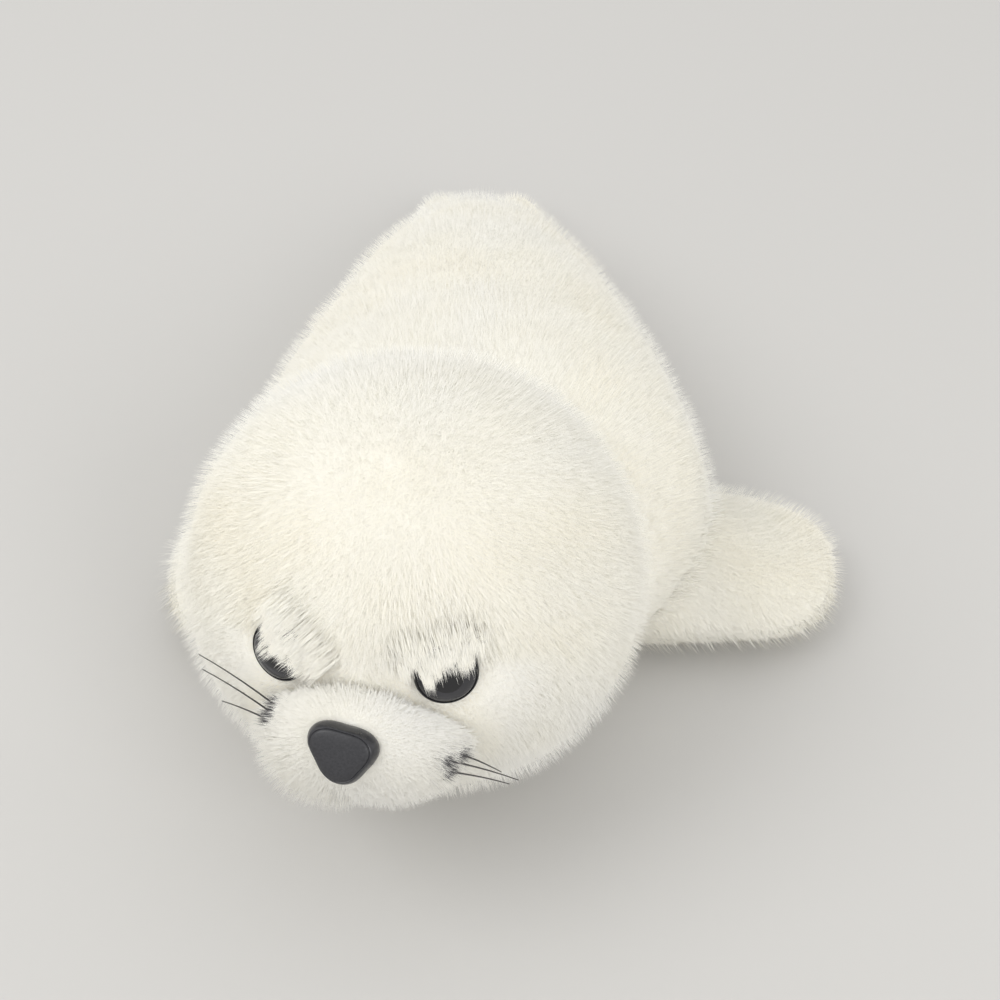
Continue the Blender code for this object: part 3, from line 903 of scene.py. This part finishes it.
def sown(mesh, weights, count, rng):
    """Places for this many hairs on the mesh: a triangle and three shares of its corners."""
    corners = skin_triangles(mesh)
    points = vertex_values(mesh, "co")[corners]
    sides = np.cross(points[:, 1] - points[:, 0], points[:, 2] - points[:, 0])
    area = np.linalg.norm(sides, axis=1)
    mass = np.cumsum(area * weights[corners].mean(1))
    picks = np.searchsorted(mass, (np.arange(count) + rng.random(count)) / count * mass[-1])
    first, second = rng.random(count), rng.random(count)
    over = first + second > 1.0
    first[over], second[over] = 1.0 - first[over], 1.0 - second[over]
    shares = np.stack([1.0 - first - second, first, second], axis=1)
    return corners[np.minimum(picks, len(corners) - 1)], shares


def mixed(values, corners, shares):
    """Values at the vertices, mixed at each hair's root."""
    if values.ndim == 1:
        return (values[corners] * shares).sum(1)
    return (values[corners] * shares[:, :, None]).sum(1)


def tufts(roots, size, seed):
    """Which tuft each hair belongs to."""
    warp = rows(*(ripple(roots, size * 3.1, seed + i) for i in range(3)))
    cells = np.floor((roots + warp * size * 0.8) / size).astype(np.int64)
    keys = (cells[:, 0] * 73856093) ^ (cells[:, 1] * 19349663) ^ (cells[:, 2] * 83492791)
    return np.unique(keys, return_inverse=True)[1].reshape(-1)


def drawn_together(tips, groups, pull):
    """Tips moved towards the middle of their tuft's tips."""
    count = np.bincount(groups).astype(float)
    middle = rows(*(np.bincount(groups, tips[:, i]) / count for i in range(3)))
    return tips + (middle[groups] - tips) * pull[:, None]


def hair_paths(roots, normals, field, look, rng, tuft_size, seed):
    """Points along each hair, from its root to its tip: an array of hair, point, place."""
    count = len(roots)
    side = np.cross(field.nap, normals)
    swing = (rng.normal(0.0, 1.0, count) * field.stray)[:, None]
    nap = field.nap * np.cos(swing) + side * np.sin(swing)
    lean = np.clip(field.lean * rng.normal(1.0, 0.06, count), 0.05, 1.42)
    guard = rng.random(count) < GUARD_SHARE
    full, short = rng.uniform(0.95, 1.25, count), rng.uniform(0.46, 0.80, count)
    length = field.length * np.where(guard, full, short)
    lean = np.where(guard, lean * 0.62, lean)
    steps = [roots]
    for i in range(1, HAIR_POINTS):
        share = (i - 0.5) / (HAIR_POINTS - 1)
        bent = np.minimum(lean * (0.45 + 1.25 * share), 1.50)[:, None]
        heading = unit(normals * np.cos(bent) + nap * np.sin(bent) - UP * 0.06 * share)
        steps.append(steps[-1] + heading * (length / (HAIR_POINTS - 1))[:, None])
    coarse = tufts(roots, tuft_size * 2.6, seed + 500)
    fine = tufts(roots, tuft_size, seed + 510)
    pull = look.clump * rng.uniform(0.3, 1.1, count)
    tip = drawn_together(steps[-1], fine, pull)
    tip = drawn_together(tip, coarse, pull * 0.28)
    shift = tip - steps[-1]
    for i in range(1, HAIR_POINTS):
        steps[i] = steps[i] + shift * (i / (HAIR_POINTS - 1)) ** 1.6
    paths = np.stack(steps, axis=1)
    lift = FLOOR_CLEARANCE + 0.0012 * rng.random(count)[:, None]
    paths[:, :, 2] = np.maximum(paths[:, :, 2], lift)
    return paths


def hair_mesh(name, paths, normals, hue, width, rng):
    """Each hair as a flat pointed blade that faces out of the skin and is shaded like it."""
    count, points_each = paths.shape[:2]
    heading = unit(paths[:, -1] - paths[:, 0])
    across = unit(np.cross(heading, normals))
    roll = rng.normal(0.0, 0.10, count)[:, None]
    across = across * np.cos(roll) + np.cross(heading, across) * np.sin(roll)
    facing = unit(np.cross(across, heading))
    shading = unit(normals * 0.95 + facing * 0.05 + 0.01 * rng.normal(size=(count, 3)))
    inner = points_each - 2
    per_hair = 2 + 2 * inner
    places = np.empty((count, per_hair, 3))
    places[:, 0] = paths[:, 0]
    places[:, -1] = paths[:, -1]
    half = (width * rng.uniform(0.75, 1.2, count))[:, None] / 2
    for i in range(inner):
        narrowing = 1.0 - 0.2 * i
        places[:, 1 + 2 * i] = paths[:, 1 + i] + across * half * narrowing
        places[:, 2 + 2 * i] = paths[:, 1 + i] - across * half * narrowing
    faces = [(0, 1, 2)]
    for i in range(inner - 1):
        a = 1 + 2 * i
        faces += [(a + 1, a, a + 2), (a + 1, a + 2, a + 3)]
    faces.append((per_hair - 2, per_hair - 3, per_hair - 1))
    faces = np.array(faces)
    corners = (np.arange(count)[:, None, None] * per_hair + faces[None]).reshape(-1)
    mesh = bpy.data.meshes.new(name)
    mesh.vertices.add(count * per_hair)
    mesh.vertices.foreach_set("co", places.astype(np.float32).ravel())
    mesh.loops.add(len(corners))
    mesh.loops.foreach_set("vertex_index", corners.astype(np.int32))
    mesh.polygons.add(len(corners) // 3)
    mesh.polygons.foreach_set("loop_start", np.arange(0, len(corners), 3, dtype=np.int32))
    mesh.polygons.foreach_set("use_smooth", np.ones(len(corners) // 3, bool))
    strand_u = np.repeat(hue[:, None], per_hair, axis=1)
    strand_v = np.zeros((count, per_hair))
    strand_v[:, 0], strand_v[:, -1] = 0.02, 0.98
    for i in range(inner):
        strand_u[:, 1 + 2 * i] += STRAND_MAP_HALF_WIDTH
        strand_u[:, 2 + 2 * i] -= STRAND_MAP_HALF_WIDTH
        strand_v[:, 1 + 2 * i] = strand_v[:, 2 + 2 * i] = (i + 1) / (inner + 1)
    strand = np.stack([strand_u, strand_v], axis=2).reshape(-1, 2)[corners]
    layer = mesh.uv_layers.new(name=STRAND_MAP)
    layer.uv.foreach_set("vector", strand.astype(np.float32).ravel())
    mesh.update(calc_edges=True)
    mesh.normals_split_custom_set_from_vertices(np.repeat(shading, per_hair, axis=0).tolist())
    return mesh


def add_piece(mesh, material):
    """Puts a new mesh into the scene as a piece of the seal, under the mesh's name."""
    piece = bpy.data.objects.new(mesh.name, mesh)
    bpy.context.scene.collection.objects.link(piece)
    mesh.materials.append(material)
    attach(piece, "root")


def marks(places):
    """How dark the airbrushed marks on the muzzle are, and how grey the fur is round them."""
    mouth = NOSE.middle - NOSE.up * MOUTH_DOWN - NOSE.out * MOUTH_BACK
    dark = np.zeros(len(places))
    grey = 0.9 * (1.0 - ease(np.linalg.norm(places - mouth, axis=1), 0.002, 0.0065))
    for spot in whisker_roots():
        far = np.linalg.norm(places - spot, axis=1)
        dark = np.maximum(dark, 1.0 - ease(far, 0.0012, 0.0032))
        grey = np.maximum(grey, 1.0 - ease(far, 0.002, 0.0085))
    return dark, grey


def layer_name(coat, layer):
    """The name of one of a coat's pile pieces."""
    return coat.pile if coat.layers == 1 else f"{coat.pile}_{'under' if layer else 'over'}"


def pile_depths(mesh):
    """How far out of the skin the solid's surface lies, as vectors."""
    return mesh_values(mesh.attributes["pile_depth"].data, "vector")


def grow_pile(coat, material, camera_side):
    """Grows the pile of one skin, with fewer hairs where the camera doesn't look."""
    look = settings().pile
    mesh = bpy.data.objects[coat.skin].data
    depths = pile_depths(mesh)
    normals = unit(depths)
    surface = vertex_values(mesh, "co") + depths
    field = FIELDS.get(coat.node, flipper_field)(coat, surface, normals, look)
    seen = UNSEEN_SHARE + (1.0 - UNSEEN_SHARE) * ease(normals @ camera_side, -0.25, 0.25)
    short = coat.kind == "short"
    for layer in range(coat.layers):
        rng = np.random.default_rng(look.seed * 1000 + layer * 97 + len(coat.pile))
        count = coat.strands
        corners, shares = sown(mesh, field.keep * seen, count, rng)
        kept = Field(*(mixed(values, corners, shares) for values in field))
        out = unit(mixed(normals, corners, shares))
        roots = mixed(vertex_values(mesh, "co"), corners, shares) - out * ROOT_DEPTH
        kept = kept._replace(nap=along_surface(kept.nap, out))
        tuft = SHORT_TUFT if short else LONG_TUFT
        paths = hair_paths(roots, out, kept, look, rng, tuft, look.seed + layer)
        hue = kept.hue + rng.normal(0.0, 0.02, count)
        odd = rng.random(count) < ODD_HAIRS
        hue = np.where(odd, rng.uniform(HUE_LOW, PALE_HUE_HIGH, count), hue)
        hue = np.clip(hue, HUE_LOW, PALE_HUE_HIGH)
        if coat.node in ("muzzle", "head"):
            dark, grey = marks(paths[:, 1])
            hue = np.where(rng.random(count) < grey * GREY_SHARE, GREY_HUE, hue)
            hue = np.where(rng.random(count) < dark * DARK_SHARE, DARK_HUE, hue)
        width = look.hair_width * (0.85 if short else 1.0) * 1.0
        made = hair_mesh(layer_name(coat, layer), paths, out, hue, width, rng)
        add_piece(made, material)


# Brow: hairs that hang over the upper part of each eye


def brow_places(seat, flow, points):
    """How far each point lies along the fringe's flow, beside it, in eye radii, and out."""
    aside, up, out = seat.local(points)
    along = -(aside * flow[0] + up * flow[1]) / seat.radius
    beside = (aside * flow[1] - up * flow[0]) / seat.radius
    return along, beside, out


def brow_paths(name, seat, flow, roots, rng, seed):
    """Points along each hair of a fringe, from the skin over the eye's dome to an uneven end."""
    count = len(roots)
    along, beside, out = brow_places(seat, flow, roots)
    groups = tufts(roots, LONG_TUFT, seed)
    tuft_drop = rng.normal(0.0, 0.26, groups.max() + 1)[groups]
    curve = np.sqrt(np.clip(1.0 - beside**2, 0.0, 1.0))
    lowest = BROW_LOWEST[name] * curve + BROW_ENDS[name] * (1.0 - curve)
    end = lowest + tuft_drop + np.abs(rng.normal(0.0, 0.22, count)) + 0.15 * (along - 1.0)
    end = end - 0.35 * (rng.random(count) < 0.10)
    tip_beside = beside * 0.96 + rng.normal(0.0, 0.07, count)
    steps = [roots]
    for share, lift in BROW_STEPS:
        at = along + (end - along) * share
        off = beside + (tip_beside - beside) * share
        inside = np.clip(1.0 - at**2 - off**2, 0.0, 1.0)
        dome = seat.rise * (0.42 + 0.60 * np.sqrt(inside))
        height = out * (1.0 - share) ** 2 + dome * (1.0 - (1.0 - share) ** 2)
        height = height + lift * rng.uniform(0.5, 1.2, count)
        sideways = flow[1] * off - flow[0] * at
        upways = -flow[0] * off - flow[1] * at
        steps.append(
            seat.middle
            + np.outer(sideways * seat.radius, seat.across)
            + np.outer(upways * seat.radius, seat.up)
            + np.outer(height, seat.out)
        )
    steps[-1] = drawn_together(steps[-1], groups, 0.75 * rng.random(count))
    return np.stack(steps, axis=1)


def grow_brow(material):
    """Grows the fringe over each eye out of the head's skin."""
    look = settings().pile
    mesh = bpy.data.objects["head_skin"].data
    skin = vertex_values(mesh, "co")
    normals = unit(pile_depths(mesh))
    for name, seat in EYES.items():
        rng = np.random.default_rng(look.seed * 31 + len(name))
        flow = unit(np.array((BROW_ASIDE[name], -1.0)))
        along, beside, out = brow_places(seat, flow, skin)
        band = ease(along, 0.80, 1.00) * (1.0 - ease(along, 1.0, 1.85))
        band = band * (1.0 - ease(np.abs(beside), 1.05, 1.40)) * ease(out, -0.010, -0.006)
        corners, shares = sown(mesh, band, BROW_HAIRS, rng)
        roots = mixed(skin, corners, shares)
        normal = unit(mixed(normals, corners, shares))
        paths = brow_paths(name, seat, flow, roots, rng, look.seed + 900)
        hue = np.clip(0.38 + rng.normal(0.0, 0.05, BROW_HAIRS), HUE_LOW, PALE_HUE_HIGH)
        facing = unit(normal + 0.3 * seat.out)
        width = look.hair_width * BROW_WIDTH_SHARE
        made = hair_mesh(name + "_brow", paths, facing, hue, width, rng)
        add_piece(made, material)


# Moulded pieces


SHARP_ANGLE = math.radians(38.0)  # past this an edge of a moulded piece is shaded sharp
EDGE = 0.0003  # how far a moulded edge is rounded


def ringed_form(name, seat, rings, outline, segments, materials, skew=0.0):
    """A ball whose rings are moved to the profile: share of the outline, and height."""
    bpy.ops.object.select_all(action="DESELECT")
    bpy.ops.mesh.primitive_uv_sphere_add(
        segments=segments, ring_count=len(rings) + 1, radius=1.0, location=(0, 0, 0)
    )
    piece = bpy.context.object
    piece.name = name
    piece.data.name = name
    top, bottom = rings[0][1], rings[-1][1]
    for vertex in piece.data.vertices:
        across, up, height = vertex.co
        turn = math.acos(max(-1.0, min(1.0, height))) / math.pi * (len(rings) + 1)
        step = round(turn)
        if step == 0:
            vertex.co = (0.0, 0.0, top)
        elif step == len(rings) + 1:
            vertex.co = (0.0, 0.0, bottom)
        else:
            share, level = rings[step - 1]
            angle = math.atan2(up, across)
            reach = outline(angle) if level >= 0.0 else (1.0, 1.0)
            up = share * reach[1] * math.sin(angle)
            vertex.co = (share * reach[0] * math.cos(angle) - skew * min(up, 0.0), up, level)
    piece.data.transform(seat.matrix())
    for material in materials:
        piece.data.materials.append(material)
    pick(piece)
    bpy.ops.object.shade_smooth_by_angle(angle=SHARP_ANGLE)
    return piece


def sphere_top(radius, low, high, steps):
    """Rings of a dome from near its top to its edge."""
    return [
        (
            radius * math.sin(math.pi / 2 * (i + 1) / steps),
            low + (high - low) * math.cos(math.pi / 2 * (i + 1) / steps),
        )
        for i in range(steps)
    ]


# The eye past its dome: share of its radius, and depth below the dome's edge.
EYE_RIM = (
    *((0.905, 0.00030), (0.915, 0.00032), (0.925, 0.00012)),
    *((0.950, 0.00006), (0.975, 0.00030), (0.992, 0.00085)),
)


def shank_end(seat):
    """The last rings of a moulded piece's shank."""
    radius, length = seat.shank_radius, seat.shank_length
    return [(radius, -length + EDGE), (radius * 0.85, -length)]


def make_eye(name, materials):
    """A dome with a pupil and an iris, a groove near its edge, and a shank behind it."""
    seat = EYES[name]
    wide, rise = seat.radius, seat.rise
    edge = rise * 0.40
    rings = [ring for ring in sphere_top(wide * 0.955, edge, rise, 18) if ring[0] < wide * 0.90]
    groove = rings[-1][1]
    rings += [(wide * share, groove - depth) for share, depth in EYE_RIM]
    rings += [(wide, rise * 0.24), (wide, EDGE), (wide - EDGE, 0.0)]
    rings += [(seat.shank_radius, 0.0), (seat.shank_radius, -0.0002), *shank_end(seat)]
    eye = ringed_form(name + "_dome", seat, rings, lambda angle: (1.0, 1.0), 72, materials)
    for polygon in eye.data.polygons:
        aside, up, out = seat.local(np.array(polygon.center)[None])
        share = float(np.hypot(aside, up)[0]) / wide
        polygon.material_index = int(IRIS_INNER < share < IRIS_OUTER and out[0] > 0.0)
    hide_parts(name)
    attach(eye, "root")


# The nose from its top to its back: share of its outline, and of its rise.
NOSE_PROFILE = (
    *((0.10, 1.000), (0.20, 0.997), (0.32, 0.990), (0.44, 0.978), (0.56, 0.960)),
    *((0.66, 0.935), (0.74, 0.905), (0.79, 0.880), (0.815, 0.855), (0.825, 0.815)),
    *((0.835, 0.800), (0.845, 0.808), (0.862, 0.818), (0.885, 0.795), (0.910, 0.735)),
    *((0.935, 0.655), (0.957, 0.560), (0.978, 0.465), (0.992, 0.385), (1.000, 0.300)),
    *((1.000, 0.120), (0.985, 0.030), (0.960, 0.000)),
)
NOSE_FACE_SHARE = 0.830  # of the outline, out to the groove round the face


def make_nose(materials):
    """A rounded triangle with a raised face inside a groove, and a shank behind it."""
    seat = NOSE
    asides, ups, outs = seat.local(node_points("nose"))
    plate = outs > -0.0002
    angles = np.linspace(0.0, math.tau, 361)
    reaches = 1.0 + NOSE_CORNERS * np.sin(3.0 * angles)
    wide_axis = asides[plate].max() / (reaches * np.cos(angles)).max()
    high_axis = -ups[plate].min() / (1.0 + NOSE_CORNERS)

    def outline(angle):
        """How far across and up the outline reaches at this angle."""
        reach = 1.0 + NOSE_CORNERS * math.sin(3.0 * angle)
        return wide_axis * reach, high_axis * reach

    face = [(share, seat.rise * level) for share, level in NOSE_PROFILE]
    rings = [*face, (seat.shank_radius, -0.0001), *shank_end(seat)]
    nose = ringed_form("nose_plate", seat, rings, outline, 96, materials, NOSE_SKEW)
    for polygon in nose.data.polygons:
        away = np.array(polygon.center) - seat.middle
        across, up = away @ seat.across, away @ seat.up
        across += NOSE_SKEW * min(up, 0.0)
        angle = math.atan2(up / high_axis, across / wide_axis)
        reach = outline(angle)
        share = math.hypot(across / reach[0], up / reach[1])
        polygon.material_index = 0 if share < NOSE_FACE_SHARE and away @ seat.out > 0.0 else 1
    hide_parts("nose")
    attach(nose, "root")


def make_whisker(name, material):
    """A copy of the whisker's solid, drawn in round its own middle line towards the tip."""
    whisker = copy_of(name, name + "_hair")
    points = vertex_values(whisker.data, "co")
    middle = points.mean(0)
    line = np.linalg.eigh(np.cov((points - middle).T))[1][:, 2]
    line = line * np.sign(line @ (middle - node_middle("muzzle")))
    along = (points - middle) @ line
    along = (along - along.min()) / (along.max() - along.min())
    powers = np.stack([along**i for i in range(4)], axis=1)
    centre = powers @ np.linalg.lstsq(powers, points, rcond=None)[0]
    thickness = 0.88 - 0.48 * along
    points = centre + (points - centre) * thickness[:, None]
    move_vertices(whisker.data, points)
    whisker.data.materials.append(material)
    pick(whisker)
    bpy.ops.object.shade_smooth()
    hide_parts(name)
    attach(whisker, "root")


# Stage


CAMERA_AIM = Vector((0.0095, -0.045, 0.057))
CAMERA_LENS, SENSOR_WIDTH = 64.8, 36.0  # in millimetres
CLIP_START = 0.01
FLOOR_SIZE = 14.0
LAMP_AIM = Vector((0.0, 0.0, 0.05))
KEY_PLACE, KEY_SIZE = Vector((-1.05, -0.45, 1.35)), 1.1
FILL_PLACE, FILL_SIZE = Vector((0.9, -1.3, 1.1)), 0.9
BACKDROP_BRIGHTNESS = 1.3  # of the backdrop against the floor


def lay_floor(colour):
    """A wide floor of matt paper."""
    bpy.ops.object.select_all(action="DESELECT")
    bpy.ops.mesh.primitive_plane_add(size=FLOOR_SIZE, location=(0.0, 0.0, 0.0))
    floor = bpy.context.object
    floor.name = "floor"
    made, nodes, links = new_material("floor_paper")
    patches = grain(nodes, links, 3.0)
    tone = ramp(nodes, links, patches, ((0.0, shade(colour, 0.99)), (1.0, colour)))
    shader = nodes["Principled BSDF"]
    links.new(tone, shader.inputs["Base Color"])
    shader.inputs["Roughness"].default_value = 0.9
    shader.inputs["Specular IOR Level"].default_value = 0.1
    floor.data.materials.append(made)
    floor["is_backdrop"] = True


def soft_lamp(name, place, size, power):
    """A round lamp that points at the seal."""
    bpy.ops.object.select_all(action="DESELECT")
    bpy.ops.object.light_add(type="AREA", location=place)
    lamp = bpy.context.object
    lamp.name = name
    lamp.data.shape = "DISK"
    lamp.data.size = size
    lamp.data.energy = power
    lamp.rotation_euler = (LAMP_AIM - place).to_track_quat("-Z", "Y").to_euler()


def hang_sky(strength, colour):
    """Even white light from all round, behind which the camera sees a plain backdrop."""
    world = bpy.data.worlds.new("studio")
    bpy.context.scene.world = world
    world.use_nodes = True
    nodes, links = world.node_tree.nodes, world.node_tree.links
    sky = nodes["Background"]
    sky.inputs["Color"].default_value = (1.0, 1.0, 1.0, 1.0)
    sky.inputs["Strength"].default_value = strength
    back = nodes.new("ShaderNodeBackground")
    back.inputs["Color"].default_value = (*shade(colour, BACKDROP_BRIGHTNESS), 1.0)
    path = nodes.new("ShaderNodeLightPath")
    mix = nodes.new("ShaderNodeMixShader")
    links.new(path.outputs["Is Camera Ray"], mix.inputs["Fac"])
    links.new(sky.outputs["Background"], mix.inputs[1])
    links.new(back.outputs["Background"], mix.inputs[2])
    links.new(mix.outputs["Shader"], nodes["World Output"].inputs["Surface"])


def camera_back(stage):
    """Which way the camera lies from what it looks at."""
    azimuth, elevation = stage.camera_azimuth, stage.camera_elevation
    return Vector(
        (
            math.sin(azimuth) * math.cos(elevation),
            -math.cos(azimuth) * math.cos(elevation),
            math.sin(elevation),
        )
    )


def aim_camera(stage):
    """The camera, where the photograph was taken from."""
    away = camera_back(stage)
    bpy.ops.object.camera_add(location=CAMERA_AIM + away * stage.camera_distance)
    camera = bpy.context.object
    camera.rotation_euler = (-away).to_track_quat("-Z", "Y").to_euler()
    camera.data.sensor_width = SENSOR_WIDTH
    camera.data.lens = CAMERA_LENS
    camera.data.clip_start = CLIP_START
    bpy.context.scene.camera = camera


# Operators


class SEAL_OT_skins(bpy.types.Operator):
    """Sews the stuffed skins that the pile grows on"""

    bl_idname = "plush_seal.skins"
    bl_label = "Sew the skins"

    def execute(self, context):
        material = undercoat_material(tuple(settings().finish.undercoat))
        for coat in COATS:
            skin = sewn_skin(coat)
            skin.data.materials.append(material)
            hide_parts(coat.node)
            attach(skin, "root")
        return {"FINISHED"}


class SEAL_OT_pile(bpy.types.Operator):
    """Grows the long and the short pile on the skins"""

    bl_idname = "plush_seal.pile"
    bl_label = "Grow the pile"

    def execute(self, context):
        finishes = {
            "long": pile_material("long_pile", 0.12, 1.0),
            "short": pile_material("short_pile", 0.08, 0.98),
        }
        camera_side = np.array(camera_back(settings().stage))
        for coat in COATS:
            grow_pile(coat, finishes[coat.kind], camera_side)
        grow_brow(finishes["long"])
        return {"FINISHED"}


class SEAL_OT_eyes(bpy.types.Operator):
    """Sets the two moulded eyes"""

    bl_idname = "plush_seal.eyes"
    bl_label = "Set the eyes"

    def execute(self, context):
        finish = settings().finish
        materials = (
            eye_material("eye_pupil", tuple(finish.eye)),
            eye_material("eye_iris", tuple(finish.iris)),
        )
        for name in EYES:
            make_eye(name, materials)
        return {"FINISHED"}


class SEAL_OT_nose(bpy.types.Operator):
    """Sets the moulded nose"""

    bl_idname = "plush_seal.nose"
    bl_label = "Set the nose"

    def execute(self, context):
        colour = tuple(settings().finish.nose)
        materials = (
            nose_material("nose_face", colour, 0.00006, (0.30, 0.46)),
            nose_material("nose_rim", colour, 0.00001, (0.24, 0.34)),
        )
        make_nose(materials)
        return {"FINISHED"}


class SEAL_OT_trim(bpy.types.Operator):
    """Finishes the whiskers and the washers inside"""

    bl_idname = "plush_seal.trim"
    bl_label = "Finish the whiskers and washers"

    def execute(self, context):
        finish = settings().finish
        filament = moulded_material("filament", tuple(finish.whisker), 900.0, (0.22, 0.42))
        washer = moulded_material("washer", tuple(finish.washer), 200.0, (0.40, 0.60))
        for name in WHISKERS:
            make_whisker(name, filament)
        for name in WASHERS:
            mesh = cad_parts[name].data
            mesh.materials.clear()
            mesh.materials.append(washer)
        return {"FINISHED"}


class SEAL_OT_stage(bpy.types.Operator):
    """Sets the floor, the lamps and the camera"""

    bl_idname = "plush_seal.stage"
    bl_label = "Set the stage"

    def execute(self, context):
        stage = settings().stage
        lay_floor(tuple(stage.floor))
        soft_lamp("key_lamp", KEY_PLACE, KEY_SIZE, stage.key_power)
        soft_lamp("fill_lamp", FILL_PLACE, FILL_SIZE, stage.fill_power)
        hang_sky(stage.sky, tuple(stage.floor))
        aim_camera(stage)
        context.scene.view_settings.view_transform = "Standard"
        return {"FINISHED"}


class SEAL_PT_panel(bpy.types.Panel):
    """The steps, in the order in which they are run"""

    bl_idname = "SEAL_PT_panel"
    bl_label = "Plush seal"
    bl_space_type = "VIEW_3D"
    bl_region_type = "UI"
    bl_category = "Plush seal"

    def draw(self, context):
        seal = context.scene.plush_seal
        for group in (seal.pile, seal.finish, seal.stage):
            box = self.layout.box()
            for name in group.bl_rna.properties.keys():
                if name not in ("rna_type", "name"):
                    box.prop(group, name)
        for step in STEPS:
            self.layout.operator(step.bl_idname)


STEPS = (SEAL_OT_skins, SEAL_OT_pile, SEAL_OT_eyes, SEAL_OT_nose, SEAL_OT_trim, SEAL_OT_stage)
CLASSES = (PileSettings, FinishSettings, StageSettings, SealSettings, *STEPS, SEAL_PT_panel)


def register():
    """Adds the settings, the steps and the sidebar panel."""
    for made in CLASSES:
        bpy.utils.register_class(made)
    bpy.types.Scene.plush_seal = PointerProperty(type=SealSettings)


def unregister():
    """Takes them away again."""
    del bpy.types.Scene.plush_seal
    for made in reversed(CLASSES):
        bpy.utils.unregister_class(made)


def main():
    """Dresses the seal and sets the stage."""
    register()
    bpy.ops.plush_seal.skins()
    bpy.ops.plush_seal.pile()
    bpy.ops.plush_seal.eyes()
    bpy.ops.plush_seal.nose()
    bpy.ops.plush_seal.trim()
    bpy.ops.plush_seal.stage()
    boxes = {"cad": cad_box, "visual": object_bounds()}
    {name: [list(low), list(high)] for name, (low, high) in boxes.items()}


if __name__ == "__main__":
    main()
